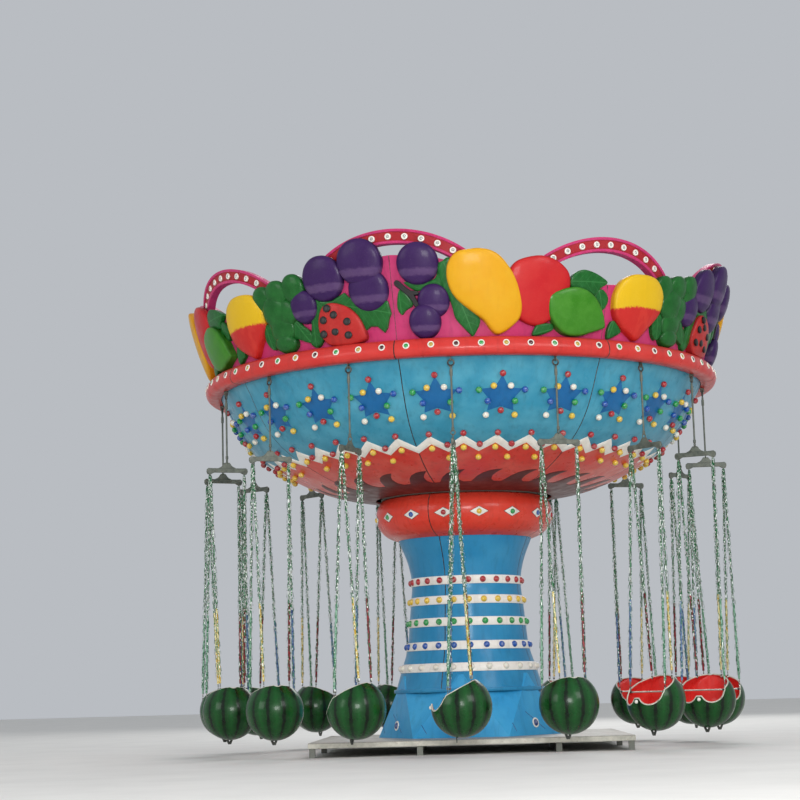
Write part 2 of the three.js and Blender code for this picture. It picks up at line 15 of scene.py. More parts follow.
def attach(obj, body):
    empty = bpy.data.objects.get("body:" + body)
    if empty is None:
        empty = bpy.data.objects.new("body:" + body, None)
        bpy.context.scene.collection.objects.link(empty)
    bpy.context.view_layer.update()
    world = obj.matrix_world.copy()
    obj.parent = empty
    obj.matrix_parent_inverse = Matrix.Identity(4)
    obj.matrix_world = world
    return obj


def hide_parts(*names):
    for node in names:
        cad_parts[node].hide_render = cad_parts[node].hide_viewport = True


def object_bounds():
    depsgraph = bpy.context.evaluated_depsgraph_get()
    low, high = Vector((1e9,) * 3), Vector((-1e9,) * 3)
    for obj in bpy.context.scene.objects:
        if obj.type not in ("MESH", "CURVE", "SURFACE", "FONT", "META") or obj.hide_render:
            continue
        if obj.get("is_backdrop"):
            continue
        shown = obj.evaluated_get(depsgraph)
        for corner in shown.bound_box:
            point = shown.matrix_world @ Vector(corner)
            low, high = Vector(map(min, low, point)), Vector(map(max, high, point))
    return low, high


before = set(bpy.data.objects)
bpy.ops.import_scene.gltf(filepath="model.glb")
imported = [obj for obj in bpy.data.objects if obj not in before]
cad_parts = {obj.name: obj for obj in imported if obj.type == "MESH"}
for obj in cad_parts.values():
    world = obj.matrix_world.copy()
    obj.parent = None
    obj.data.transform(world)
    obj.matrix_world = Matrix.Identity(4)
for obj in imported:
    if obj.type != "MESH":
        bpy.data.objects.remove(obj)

LOG = logging.getLogger("chair_swing_ride")

Point = tuple[float, float, float]
Pair = tuple[float, float]
Place = Point | np.ndarray
Mapper = Callable[[float, float, float], Point]
Faces = list[tuple[int, ...]]
Tree = bpy.types.NodeTree
Node = bpy.types.Node
Socket = bpy.types.NodeSocket
Mesh = bpy.types.Mesh
# The three nodes that the patterns are mostly made of
MATH, RANGE, VALUE = "ShaderNodeMath", "ShaderNodeMapRange", "ShaderNodeAttribute"

# Layout that all sub-assemblies share
SEAM_DEG = -13.0
SEGMENTS = 8
SEGMENT_DEG = 360.0 / SEGMENTS
CHAIRS = 16
CHAIR_DEG = SEAM_DEG + SEGMENT_DEG / 4
HANG_RADIUS = 2.9
PIVOT_HEIGHT = 4.155
GONDOLA_HEIGHT = 0.52
# Steps that never repeat spread things evenly without chance: one for angles, two for a pair of measures
TURN_RATIO = (sqrt(5.0) - 1.0) / 2.0
STRIP_RATIOS = (0.7548777, 0.5698403)
# Raised forms have a nearly flat face with a soft edge: one half would give a full dome
PLATEAU = 0.34
# A gelcoat's or plastic's clear skin is smooth, but not polished
COAT_ROUGHNESS = 0.12


class Slot(Enum):
    """The record's material slots."""

    STEEL = "galvanised_steel"
    DECK = "deck_plate"
    TOWER = "tower_blue"
    BOWL = "bowl_blue"
    RED = "gelcoat_red"
    PINK = "crown_pink"
    MELON = "melon_green"


# Colour and nodes


def linear(code: str) -> tuple[float, float, float, float]:
    """Turn an sRGB hex value to a linear colour.

    Args:
        code: The colour as #RRGGBB.

    Returns:
        Red, green, blue and an alpha of one.
    """
    parts = []
    for start in (1, 3, 5):
        value = int(code[start:start + 2], 16) / 255.0
        parts.append(value / 12.92 if value <= 0.04045 else ((value + 0.055) / 1.055) ** 2.4)
    return (parts[0], parts[1], parts[2], 1.0)


def add_node(tree: Tree, kind: str, links: dict | None = None, **settings) -> Node:
    """Add a node with its settings, socket values and links.

    Args:
        tree: The material's node tree.
        kind: The node's type name.
        links: Input to a value, a hex colour, or the output or node that feeds it.
        settings: The node's own properties.

    Returns:
        The new node.
    """
    made = tree.nodes.new(kind)
    for name, value in settings.items():
        setattr(made, name, value)
    for socket, source in (links or {}).items():
        if isinstance(source, (Socket, Node)):
            tree.links.new(source.outputs[0] if isinstance(source, Node) else source, made.inputs[socket])
        else:
            made.inputs[socket].default_value = linear(source) if isinstance(source, str) else source
    return made


def mottle(
    tree: Tree, size_mm: float, low: float = 0.4, high: float = 0.6,
    stretch: Point = (1.0, 1.0, 1.0), detail: float = 3.0,
) -> Socket:
    """Give soft patches of a real size, from 0 to 1.

    Args:
        tree: The material's node tree.
        size_mm: Width of a patch.
        low: Noise value that becomes 0.
        high: Noise value that becomes 1.
        stretch: How much tighter the patches are along each axis.
        detail: Octaves of finer patches.

    Returns:
        The socket with the patches.
    """
    place = add_node(tree, "ShaderNodeTexCoord").outputs["Object"]
    scaled = add_node(tree, "ShaderNodeMapping", {"Vector": place, "Scale": stretch})
    sizes = {"Vector": scaled, "Scale": 1000.0 / size_mm, "Detail": detail, "Roughness": 0.55}
    noise = add_node(tree, "ShaderNodeTexNoise", sizes)
    return add_node(tree, RANGE, {0: noise, 1: low, 2: high}).outputs[0]


def cover(
    tree: Tree, below: object, above: object, pattern: Socket | Node, share: float = 1.0, mode: str = "MIX",
) -> Socket:
    """Lay one colour over another.

    Args:
        tree: The material's node tree.
        below: Hex colour or socket below.
        above: Hex colour or socket above.
        pattern: Where the upper colour shows, from 0 to 1.
        share: How much of it shows there.
        mode: Blend mode.

    Returns:
        The socket with the result.
    """
    factor = add_node(tree, MATH, {0: pattern, 1: share}, operation="MULTIPLY")
    colours = {0: factor, 6: below, 7: above}
    return add_node(tree, "ShaderNodeMix", colours, data_type="RGBA", blend_type=mode).outputs[2]


def own_place(tree: Tree) -> list[Socket]:
    """Give the sockets of a point's x, y and z in its piece's coordinates."""
    place = add_node(tree, "ShaderNodeTexCoord")
    return list(add_node(tree, "ShaderNodeSeparateXYZ", {0: place.outputs["Object"]}).outputs)


def emboss(tree: Tree, shader: Node, height: Socket | Node, depth_mm: float, strength: float = 1.0) -> None:
    """Raise the surface by a pattern of a real depth.

    Args:
        tree: The material's node tree.
        shader: The surface shader.
        height: Pattern from 0 to 1.
        depth_mm: Its depth.
        strength: How much of it shows.
    """
    normal = shader.inputs["Normal"]
    links = {"Height": height, "Distance": depth_mm / 1000.0, "Strength": strength}
    if normal.is_linked:
        links["Normal"] = normal.links[0].from_socket
    made = add_node(tree, "ShaderNodeBump", links)
    tree.links.new(made.outputs[0], normal)


def grain(tree: Tree, shader: Node, size_mm: float, depth_mm: float, strength: float) -> None:
    """Give the surface a soft grain of a real size and depth."""
    emboss(tree, shader, mottle(tree, size_mm, 0.2, 0.8), depth_mm, strength)


# Finishes


@dataclass(frozen=True)
class Finish:
    """What every finish has: its name and the typical values of its surface."""

    name: str
    colour: str
    roughness: float = 0.5
    metallic: float = 0.0
    coat: float = 0.0
    specular: float = 0.5

    def make(self) -> bpy.types.Material:
        """Make the material.

        Returns:
            The finished material.
        """
        material = bpy.data.materials.new(self.name)
        material.use_nodes = True
        tree = material.node_tree
        shader = tree.nodes["Principled BSDF"]
        values = {
            "Roughness": self.roughness, "Metallic": self.metallic, "Coat Weight": self.coat,
            "Coat Roughness": COAT_ROUGHNESS, "Specular IOR Level": self.specular,
        }
        for socket, value in values.items():
            shader.inputs[socket].default_value = value
        tree.links.new(self.dress(tree, shader), shader.inputs["Base Color"])
        return material

    def dress(self, tree: Tree, shader: Node) -> Socket:
        """Dress the shader and give the colour's socket; each finish has its own way."""
        raise NotImplementedError

    def vary_gloss(
        self, tree: Tree, shader: Node, pattern: Socket | Node, less: float, more: float,
    ) -> None:
        """Let a pattern from 0 to 1 spread the roughness from less under its value to more over it."""
        gloss = add_node(tree, RANGE, {0: pattern, 3: self.roughness - less, 4: self.roughness + more})
        tree.links.new(gloss.outputs[0], shader.inputs["Roughness"])


@dataclass(frozen=True)
class Gelcoat(Finish):
    """Glass fibre laid by hand in a mould, with a brushed gelcoat.

    It gives the eye a gloss that waves a little, faded patches and faint streaks of rain.
    A chalked skin mirrors less than new resin, so its colours stay deep.
    """

    specular: float = 0.2
    faded: str = "#FFFFFF"
    fade: float = 0.45
    patch_mm: float = 420.0
    streak: float = 0.22

    def dress(self, tree: Tree, shader: Node) -> Socket:
        """Fade, streak and wave the coat; see the base class."""
        patches = mottle(tree, self.patch_mm, 0.38, 0.68)
        colour = cover(tree, self.tint(tree), self.pale(tree), patches, self.fade)
        # Rain runs down in lines about 60 mm apart and a metre long
        runs = mottle(tree, 60.0, 0.52, 0.75, (1.0, 1.0, 0.06), 4.0)
        colour = cover(tree, colour, "#6B675C", runs, self.streak, "MULTIPLY")
        colour = cover(tree, colour, "#B9B3A6", mottle(tree, 9.0, 0.58, 0.8), 0.07)
        self.vary_gloss(tree, shader, mottle(tree, 130.0, 0.3, 0.7), 0.07, 0.12)
        # The mat of fibres prints through as waves of 45 mm, and the coat has a peel of 6 mm
        grain(tree, shader, 45.0, 1.6, 0.5)
        grain(tree, shader, 6.0, 0.25, 0.4)
        return colour

    def tint(self, tree: Tree) -> object:
        """Give the coat's own colour before it ages."""
        return linear(self.colour)

    def pale(self, tree: Tree) -> object:
        """Give the colour of its faded patches."""
        return linear(self.faded)


@dataclass(frozen=True)
class TwoTone(Gelcoat):
    """A gelcoat sprayed in two colours against a masked edge, where the value along is zero."""

    below: str = "#000000"
    below_faded: str = "#FFFFFF"
    feather: float = 0.004

    def above_edge(self, tree: Tree) -> Node:
        """Give one above the masked edge and zero below it."""
        edge = add_node(tree, VALUE, attribute_name="along").outputs["Fac"]
        return add_node(tree, RANGE, {0: edge, 1: -self.feather, 2: self.feather})

    def tint(self, tree: Tree) -> object:
        """Give the colour above the edge and the one below it."""
        return cover(tree, self.below, self.colour, self.above_edge(tree))

    def pale(self, tree: Tree) -> object:
        """Give the faded colour above the edge and the one below it."""
        return cover(tree, self.below_faded, self.faded, self.above_edge(tree))


@dataclass(frozen=True)
class FruitPaint(Gelcoat):
    """Airbrushed fruit: darker towards its outline, with an optional light band across it."""

    shade: str = "#000000"
    band: str = ""
    band_low: float = -0.62
    band_high: float = -0.3

    def tint(self, tree: Tree) -> object:
        """Shade the rim and lay the band on."""
        swell = add_node(tree, VALUE, attribute_name="across").outputs["Fac"]
        rim = add_node(tree, RANGE, {0: swell, 1: 0.12, 2: 0.5, 3: 0.85, 4: 0.0})
        colour = cover(tree, self.colour, self.shade, rim)
        if self.band:
            height = add_node(tree, VALUE, attribute_name="along").outputs["Fac"]
            # Brush marks of 55 mm make the band's edges ragged
            brush = add_node(tree, RANGE, {0: mottle(tree, 55.0, 0.2, 0.8, (1.0, 1.0, 3.0)), 4: 0.12})
            height = add_node(tree, MATH, {0: height, 1: brush}, operation="ADD")
            lower = add_node(tree, RANGE, {0: height, 1: self.band_low, 2: self.band_low + 0.1})
            upper = add_node(tree, RANGE, {
                0: height, 1: self.band_high, 2: self.band_high + 0.12, 3: 1.0, 4: 0.0,
            })
            inside = add_node(tree, MATH, {0: lower, 1: upper}, operation="MULTIPLY")
            colour = cover(tree, colour, self.band, inside, 0.55)
        return colour


@dataclass(frozen=True)
class PeachPaint(Gelcoat):
    """Yellow over red, brushed together along a ragged line."""

    below: str = "#C22622"
    ridge: str = "#C93229"

    def above_line(self, tree: Tree) -> Node:
        """Break the line of the two colours with brush marks of 25 mm."""
        height = add_node(tree, VALUE, attribute_name="along").outputs["Fac"]
        brush = add_node(tree, RANGE, {0: mottle(tree, 25.0, 0.2, 0.8), 3: -0.02, 4: 0.02})
        torn = add_node(tree, MATH, {0: height, 1: brush}, operation="ADD")
        return add_node(tree, RANGE, {0: torn, 1: -0.012, 2: 0.012})

    def tint(self, tree: Tree) -> object:
        """Give yellow with a darker rim above the line, and red with lighter ridges below it."""
        red = cover(tree, self.below, self.ridge, mottle(tree, 90.0, 0.5, 0.62, (1.0, 1.0, 0.3)))
        swell = add_node(tree, VALUE, attribute_name="across").outputs["Fac"]
        rim = add_node(tree, RANGE, {0: swell, 1: 0.1, 2: 0.4, 3: 0.6, 4: 0.0})
        yellow = cover(tree, self.colour, "#D99A1E", rim)
        return cover(tree, red, yellow, self.above_line(tree))

    def pale(self, tree: Tree) -> object:
        """Give the faded yellow above the line and the ridges' red below it."""
        return cover(tree, self.ridge, self.faded, self.above_line(tree))


@dataclass(frozen=True)
class LeafPaint(Gelcoat):
    """Painted leaf: brush strokes along it, and a painted highlight along the carved veins from the midrib.
    """

    vein_highlight: str = "#4A9452"
    pitch: float = 0.085

    def tint(self, tree: Tree) -> object:
        """Paint a highlight along the midrib and its side veins, 8 mm and 5 mm wide."""
        across, along = (
            add_node(tree, VALUE, attribute_name=name).outputs["Fac"] for name in ("across", "along")
        )
        away = add_node(tree, MATH, {0: across}, operation="ABSOLUTE")
        midrib = add_node(tree, RANGE, {0: away, 1: 0.002, 2: 0.008, 3: 1.0, 4: 0.0})
        slope = add_node(tree, MATH, {0: away, 1: 0.9}, operation="MULTIPLY")
        slant = add_node(tree, MATH, {0: along, 1: slope}, operation="SUBTRACT")
        wave = add_node(tree, MATH, {0: slant, 1: self.pitch / 2.0}, operation="PINGPONG")
        side = add_node(tree, RANGE, {0: wave, 1: 0.001, 2: 0.006, 3: 0.55, 4: 0.0})
        vein_highlights = add_node(tree, MATH, {0: midrib, 1: side}, operation="MAXIMUM")
        strokes = mottle(tree, 30.0, 0.45, 0.75, (1.0, 1.0, 0.4))
        colour = cover(tree, self.colour, "#27773A", strokes, 0.4)
        # The veins are painted lighter: a painted highlight where the carved veins catch the light
        return cover(tree, colour, self.vein_highlight, vein_highlights, 0.4)


@dataclass(frozen=True)
class MelonPaint(Gelcoat):
    """Melon rind: dark meridian stripes with ragged edges, in the gondola's own coordinates."""

    stripe: str = "#061309"
    stripes: int = 11

    def tint(self, tree: Tree) -> object:
        """Draw the stripes by the angle round the gondola, with edges torn by 70 mm noise."""
        x, y, _ = own_place(tree)
        angle = add_node(tree, MATH, {0: y, 1: x}, operation="ARCTAN2")
        turns = add_node(tree, MATH, {0: angle, 1: self.stripes / (2.0 * pi)}, operation="MULTIPLY")
        torn = add_node(tree, RANGE, {0: mottle(tree, 70.0, 0.2, 0.8), 3: -0.09, 4: 0.09})
        ragged = add_node(tree, MATH, {0: turns, 1: torn}, operation="ADD")
        wave = add_node(tree, MATH, {0: ragged, 1: 0.5}, operation="PINGPONG")
        lighter = add_node(tree, RANGE, {0: wave, 1: 0.22, 2: 0.5, 4: 0.6})
        dark = add_node(tree, RANGE, {0: wave, 1: 0.085, 2: 0.14, 3: 0.94, 4: 0.0})
        return cover(tree, cover(tree, self.colour, "#185A24", lighter), self.stripe, dark)


@dataclass(frozen=True)
class PaintedSteel(Finish):
    """Rolled steel with one coat of grey paint, dull, chipped to rust at a few spots."""

    rust: str = "#6E4A34"
    rust_share: float = 0.5

    def dress(self, tree: Tree, shader: Node) -> Socket:
        """Cloud the paint, let rust through and pit it; see the base class."""
        clouds = mottle(tree, 70.0, 0.3, 0.7)
        self.vary_gloss(tree, shader, clouds, 0.08, 0.14)
        grain(tree, shader, 4.0, 0.3, 0.5)
        chips = mottle(tree, 26.0, 0.62, 0.68, detail=6.0)
        colour = cover(tree, self.colour, "#8C9083", clouds, 0.5)
        return cover(tree, colour, self.rust, chips, self.rust_share)


@dataclass(frozen=True)
class ZincChain(Finish):
    """Hot-dip zinc on drawn wire: bright with dull grey spangles of about 8 mm."""

    def dress(self, tree: Tree, shader: Node) -> Socket:
        """Vary the spangles' tone and gloss; see the base class."""
        spangle = mottle(tree, 8.0, 0.35, 0.65)
        self.vary_gloss(tree, shader, spangle, 0.1, 0.15)
        grain(tree, shader, 2.0, 0.15, 0.4)
        return cover(tree, self.colour, "#8E9288", spangle)


@dataclass(frozen=True)
class ChequerPlate(Finish):
    """Rolled chequer plate: raised lozenges 28 mm apart, worn bright on their tops."""

    pitch_mm: float = 28.0

    def dress(self, tree: Tree, shader: Node) -> Socket:
        """Raise lozenges in turned rows and dull the ground between; see the base class."""
        x, y, _ = own_place(tree)
        pitch = self.pitch_mm / 1000.0
        waves = []
        for kind in ("ADD", "SUBTRACT"):
            diagonal = add_node(tree, MATH, {0: x, 1: y}, operation=kind)
            waves.append(add_node(tree, MATH, {0: diagonal, 1: pitch}, operation="PINGPONG"))
        long_one = add_node(tree, RANGE, {0: waves[0], 1: 0.3 * pitch, 2: 0.45 * pitch, 3: 1.0, 4: 0.0})
        short_one = add_node(tree, RANGE, {0: waves[1], 1: 0.72 * pitch, 2: 0.86 * pitch, 3: 1.0, 4: 0.0})
        lozenge = add_node(tree, MATH, {0: long_one, 1: short_one}, operation="MULTIPLY")
        emboss(tree, shader, lozenge, 1.4, 0.8)
        colour = cover(tree, self.colour, "#8F8B80", mottle(tree, 240.0, 0.35, 0.7))
        colour = cover(tree, colour, "#D9D8D2", lozenge, 0.35)
        return cover(tree, colour, "#7A7263", mottle(tree, 12.0, 0.55, 0.75), 0.4)


@dataclass(frozen=True)
class MouldedPlastic(Finish):
    """Injection-moulded plastic: even colour, a fine grain and a thin film of dust."""

    dust: str = "#CFC9BC"
    glow: float = 0.0

    def dress(self, tree: Tree, shader: Node) -> Socket:
        """Lay dust on an even colour and grain the surface; see the base class."""
        film = mottle(tree, 35.0, 0.45, 0.8)
        grain(tree, shader, 3.0, 0.12, 0.4)
        shader.inputs["Subsurface Weight"].default_value = self.glow
        shader.inputs["Subsurface Scale"].default_value = 0.01
        self.vary_gloss(tree, shader, film, 0.05, 0.15)
        return cover(tree, self.colour, self.dust, film, 0.3)


@dataclass(frozen=True)
class FoilTinsel(Finish):
    """Slit metallised film: each strip has its own tone, by where it hangs."""

    other: str = "#2F7A48"

    def dress(self, tree: Tree, shader: Node) -> Socket:
        """Mix strips of two colours, 22 mm apart; see the base class."""
        strips = mottle(tree, 22.0, 0.4, 0.46, detail=0.0)
        grain(tree, shader, 5.0, 0.6, 0.6)
        return cover(tree, self.colour, self.other, strips)


@dataclass(frozen=True)
class PaleFloor(Finish):
    """Studio floor: matt pale coating with barely visible clouds."""

    def dress(self, tree: Tree, shader: Node) -> Socket:
        """Cloud it faintly; see the base class."""
        clouds = mottle(tree, 900.0, 0.3, 0.7)
        return cover(tree, self.colour, "#DEDCD7", clouds)


FINISHES: tuple[Finish, ...] = (
    Gelcoat("tower_blue_gelcoat", "#2480AE", 0.34, coat=0.14, faded="#459AC2"),
    # The plinth takes the tower's blue painted lighter: painted sunlight, where the sun reaches the plinth
    # below the bowl's shade
    Gelcoat("plinth_blue_with_painted_sunlight", "#2C93C9", 0.34, coat=0.14, faded="#52B2DC"),
    Gelcoat("white_gelcoat", "#EFEBE3", 0.34, coat=0.2, faded="#D6D0C3", fade=0.3),
    Gelcoat("red_gelcoat", "#DA3A29", 0.3, coat=0.25, faded="#DC5443"),
    Gelcoat("rim_red_gelcoat", "#C9312C", 0.34, coat=0.15, faded="#D14B45"),
    Gelcoat("pink_gelcoat", "#C13169", 0.42, coat=0.08, faded="#CC4F7E"),
    Gelcoat("channel_red_gelcoat", "#A01F28", 0.42, coat=0.08, faded="#B53D40"),
    Gelcoat("star_blue_gelcoat", "#155F98", 0.36, coat=0.12, faded="#2572A8"),
    Gelcoat("flame_maroon_gelcoat", "#58201F", 0.4, coat=0.1, faded="#6E332C"),
    Gelcoat("zigzag_cream_gelcoat", "#FBF7EE", 0.36, coat=0.15, faded="#EEE6D8", fade=0.3, streak=0.12),
    Gelcoat("cover_blue_gelcoat", "#4A9BB8", 0.42, coat=0.1, faded="#7DB5C7", fade=0.5),
    Gelcoat("seat_red_gelcoat", "#DF322E", 0.26, coat=0.3, faded="#E4524A", fade=0.3, patch_mm=120.0,
            streak=0.05),
    TwoTone("bowl_blue_and_red_gelcoat", "#378DA9", 0.32, coat=0.2, faded="#5FABC0", fade=0.55,
            patch_mm=300.0, below="#DB3C30", below_faded="#E0705D"),
    FruitPaint("melon_slice_gelcoat", "#B02523", 0.4, coat=0.08, faded="#BF3C34", fade=0.35, patch_mm=150.0,
               shade="#8F1A20"),
    FruitPaint("plum_gelcoat", "#33164D", 0.4, coat=0.08, faded="#40265A", fade=0.4, patch_mm=160.0,
               streak=0.08, shade="#1D0C36", band="#6A5078"),
    FruitPaint("mango_gelcoat", "#DB9D0E", 0.42, coat=0.08, faded="#DFAD24", fade=0.4, patch_mm=220.0,
               streak=0.05, shade="#CB8408"),
    FruitPaint("apple_gelcoat", "#BC1A20", 0.42, coat=0.08, faded="#CA372F", fade=0.35, patch_mm=200.0,
               streak=0.05, shade="#96121A"),
    FruitPaint("green_mango_gelcoat", "#357A16", 0.36, coat=0.15, faded="#529230", fade=0.4, patch_mm=130.0,
               streak=0.05, shade="#1B5612"),
    FruitPaint("bunch_green_gelcoat", "#12551D", 0.34, coat=0.15, faded="#27702F", fade=0.5, patch_mm=110.0,
               streak=0.08, shade="#093813"),
    PeachPaint("peach_gelcoat", "#DEB212", 0.4, coat=0.1, faded="#E0BC34", fade=0.2, patch_mm=200.0,
               streak=0.05),
    LeafPaint("leaf_gelcoat", "#11561D", 0.36, coat=0.12, faded="#236C2D", fade=0.35, patch_mm=140.0,
              streak=0.08),
    MelonPaint("melon_gelcoat", "#0E3D17", 0.28, coat=0.2, faded="#195223", fade=0.25, patch_mm=180.0,
               streak=0.1),
    PaintedSteel("hanger_steel_paint", "#454B42", 0.46, 0.15, rust_share=0.3),
    PaintedSteel("frame_steel_paint", "#6C6E67", 0.5, 0.2),
    PaintedSteel("black_steel_paint", "#191A19", 0.38, 0.1, rust="#4A382C", rust_share=0.3),
    PaintedSteel("cream_steel_paint", "#D9D5C6", 0.42, rust="#8D6B4C", rust_share=0.35),
    PaintedSteel("bright_bar_steel", "#D5D2C8", 0.3, 0.55, rust="#A59C8A", rust_share=0.2),
    ZincChain("zinc_chain", "#B9BCB4", 0.38, 0.9),
    FoilTinsel("silver_and_green_tinsel", "#D6DCD5", 0.4, 0.3, other="#1C6A3C"),
    ChequerPlate("chequer_deck_plate", "#B4B1A7", 0.48, 0.35),
    MouldedPlastic("ball_red", "#A81D26", 0.22, coat=0.3, glow=0.1),
    MouldedPlastic("ball_yellow", "#DFBA3A", 0.22, coat=0.3, glow=0.1),
    MouldedPlastic("ball_green", "#109446", 0.22, coat=0.3, glow=0.1),
    MouldedPlastic("ball_blue", "#0F4FA4", 0.22, coat=0.3, glow=0.1),
    MouldedPlastic("ball_white", "#E3DFD1", 0.24, coat=0.3, glow=0.1),
    MouldedPlastic("lens_green", "#1C9440", 0.12, coat=0.5),
    MouldedPlastic("lens_amber", "#B79A3A", 0.12, coat=0.5),
    MouldedPlastic("lens_dark_red", "#4A0F14", 0.12, coat=0.5),
    MouldedPlastic("lamp_white_ring", "#EEEAE0", 0.3, coat=0.2),
    MouldedPlastic("lamp_clear_grey", "#A9ABA5", 0.1, coat=0.6),
    MouldedPlastic("seed_black", "#0C0A0A", 0.5, coat=0.08, dust="#1E1B1A"),
    MouldedPlastic("dome_dark_blue", "#173D7E", 0.2, coat=0.4),
    FoilTinsel("sleeve_green", "#17663C", 0.42, 0.2, other="#7FA890"),
    FoilTinsel("sleeve_blue", "#1C3C74", 0.42, 0.2, other="#5F7C9C"),
    FoilTinsel("sleeve_red", "#8A141F", 0.42, 0.2, other="#5E0C15"),
    FoilTinsel("sleeve_yellow", "#C09A22", 0.42, 0.2, other="#DDD29A"),
    # Near-black of the seams: grime in the joints and painted shade in their grooves; also the painted shadow
    # round the collar's lozenges
    MouldedPlastic("joint_grime_and_painted_shade", "#33302D", 0.6),
    PaleFloor("pale_floor", "#E6E4DF", 0.8),
)


class Paint:
    """All finishes of the ride, each made once when first asked for."""

    kinds: dict[str, Finish] = {finish.name: finish for finish in FINISHES}
    made: dict[str, bpy.types.Material] = {}

    @classmethod
    def get(cls, name: str) -> bpy.types.Material:
        """Give a finish's material, made on first use."""
        if name not in cls.made:
            cls.made[name] = cls.kinds[name].make()
        return cls.made[name]


# Shapes


class Form:
    """Points and faces of one piece, gathered before they become a mesh."""

    def __init__(self, *finishes: str) -> None:
        """Start empty, with the names of the finishes that its faces use."""
        self.finishes = list(finishes)
        self.points: list[Point] = []
        self.faces: Faces = []
        self.face_finish: list[int] = []
        self.across: list[float] = []
        self.along: list[float] = []

    def add(
        self, points: list[Place] | np.ndarray, faces: Faces, finish: str = "",
        across: np.ndarray | None = None, along: np.ndarray | None = None,
    ) -> None:
        """Add points and faces.

        Args:
            points: One row a point.
            faces: Corners of each face as rows of points.
            finish: Name of the faces' finish, or the first one.
            across: First paint value of each point.
            along: Second paint value of each point.
        """
        start = len(self.points)
        rows = np.asarray(points, float).reshape(-1, 3)
        self.points.extend(map(tuple, rows.tolist()))
        self.faces.extend(tuple(start + corner for corner in face) for face in faces)
        if finish and finish not in self.finishes:
            self.finishes.append(finish)
        index = self.finishes.index(finish) if finish else 0
        self.face_finish.extend([index] * len(faces))
        blank = np.zeros(len(rows))
        self.across.extend((blank if across is None else np.asarray(across)).tolist())
        self.along.extend((blank if along is None else np.asarray(along)).tolist())

    def mesh(self, name: str, sharp_deg: float = 42.0) -> Mesh:
        """Make the mesh.

        Args:
            name: The mesh's name.
            sharp_deg: Edges that bend more than this stay sharp.

        Returns:
            The mesh with its finishes and paint values.
        """
        mesh = bpy.data.meshes.new(name)
        mesh.from_pydata(self.points, [], self.faces)
        for finish in self.finishes:
            mesh.materials.append(Paint.get(finish))
        mesh.polygons.foreach_set("material_index", self.face_finish)
        mesh.polygons.foreach_set("use_smooth", [True] * len(self.faces))
        for label, values in (("across", self.across), ("along", self.along)):
            if any(values):
                mesh.attributes.new(label, "FLOAT", "POINT").data.foreach_set("value", values)
        mesh.update()
        mesh.set_sharp_from_angle(angle=radians(sharp_deg))
        return mesh

    def place(
        self, name: str, body: str, slot: Slot, replaces: tuple[str, ...] = (), sharp_deg: float = 42.0,
    ) -> bpy.types.Object:
        """Make the mesh, set it in the scene as a piece and give the piece; see set_piece."""
        return set_piece(name, self.mesh(name, sharp_deg), body, slot, replaces)


def set_piece(
    name: str, mesh: Mesh, body: str, slot: Slot, replaces: tuple[str, ...] = (),
    stand: Matrix | None = None,
) -> bpy.types.Object:
    """Set a mesh in the scene as a piece.

    Args:
        name: The piece's name.
        mesh: Its mesh.
        body: The CAD body that carries it.
        slot: The record's slot; not used.
        replaces: CAD nodes that it stands for.
        stand: Where a copy of the mesh stands; its turn goes into the copy.

    Returns:
        The piece.
    """
    if stand is not None:
        mesh = mesh.copy()
        mesh.transform(stand.to_3x3().to_4x4())
    piece = bpy.data.objects.new(name, mesh)
    bpy.context.scene.collection.objects.link(piece)
    if stand is not None:
        piece.matrix_world = Matrix.Translation(stand.to_translation())
        bpy.context.view_layer.update()
    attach(piece, body)
    if replaces:
        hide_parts(*replaces)
    LOG.info("%s: %d points on %s", name, len(mesh.vertices), body)
    return piece


def polar(azimuth: float, radius: float, height: float) -> Point:
    """Give the point at an azimuth in degrees from the front, positive towards +X."""
    angle = radians(azimuth)
    return (radius * sin(angle), -radius * cos(angle), height)


def azimuths(count: int, first: float = SEAM_DEG) -> list[float]:
    """Give azimuths that share the circle equally, from the first seam on."""
    return [first + 360.0 * i / count for i in range(count)]


def unit_circle(sides: int, start: float = 0.0) -> list[Pair]:
    """Give the corners of a circle of radius one, from a share of a side past +x."""
    return [(cos(a), sin(a)) for a in (2.0 * pi * (i + start) / sides for i in range(sides))]


def mirrored(right: list[Pair]) -> list[Pair]:
    """Close an outline by its own mirror image across x = 0."""
    return [*right, *[(-x, y) for x, y in reversed(right)]]


def way(start: Place, end: Place) -> np.ndarray:
    """Give the way from one place to another."""
    return np.array(end) - np.array(start)


def rotation(angle: float, axis: str = "Z") -> Matrix:
    """Give the turn by an angle in degrees about one of the main axes."""
    return Matrix.Rotation(radians(angle), 4, axis)


def upright(x: float, y: float, z: float) -> Matrix:
    """Give the stand of a plate that faces -Y, its own y upwards."""
    return Matrix.Translation((x, y, z)) @ rotation(90.0, "X")


def flipped(faces: Faces) -> Faces:
    """Turn faces over."""
    return [tuple(reversed(face)) for face in faces]


def quads(rows: int, columns: int, round_columns: bool = False, round_rows: bool = False) -> Faces:
    """Give the faces of a grid of points.

    Args:
        rows: Number of rows.
        columns: Points in a row.
        round_columns: Whether each row closes on itself.
        round_rows: Whether the last row joins the first.

    Returns:
        Four corners a face.
    """
    faces = []
    for row in range(rows if round_rows else rows - 1):
        for column in range(columns if round_columns else columns - 1):
            below, beside = (row + 1) % rows, (column + 1) % columns
            faces.append((
                row * columns + column, row * columns + beside,
                below * columns + beside, below * columns + column,
            ))
    return faces


def smooth_path(corners: list[Pair], parts: int) -> list[Pair]:
    """Lay a smooth line through corners.

    Args:
        corners: The corners, in order.
        parts: Pieces between two corners.

    Returns:
        Points of the line, the corners among them.
    """
    known = [np.array(corner, float) for corner in corners]
    known = [2 * known[0] - known[1], *known, 2 * known[-1] - known[-2]]
    line = []
    for i in range(1, len(known) - 2):
        for part in range(parts):
            line.append(catmull(known[i - 1:i + 3], part / parts))
    line.append(known[-2])
    return [tuple(point.tolist()) for point in line]


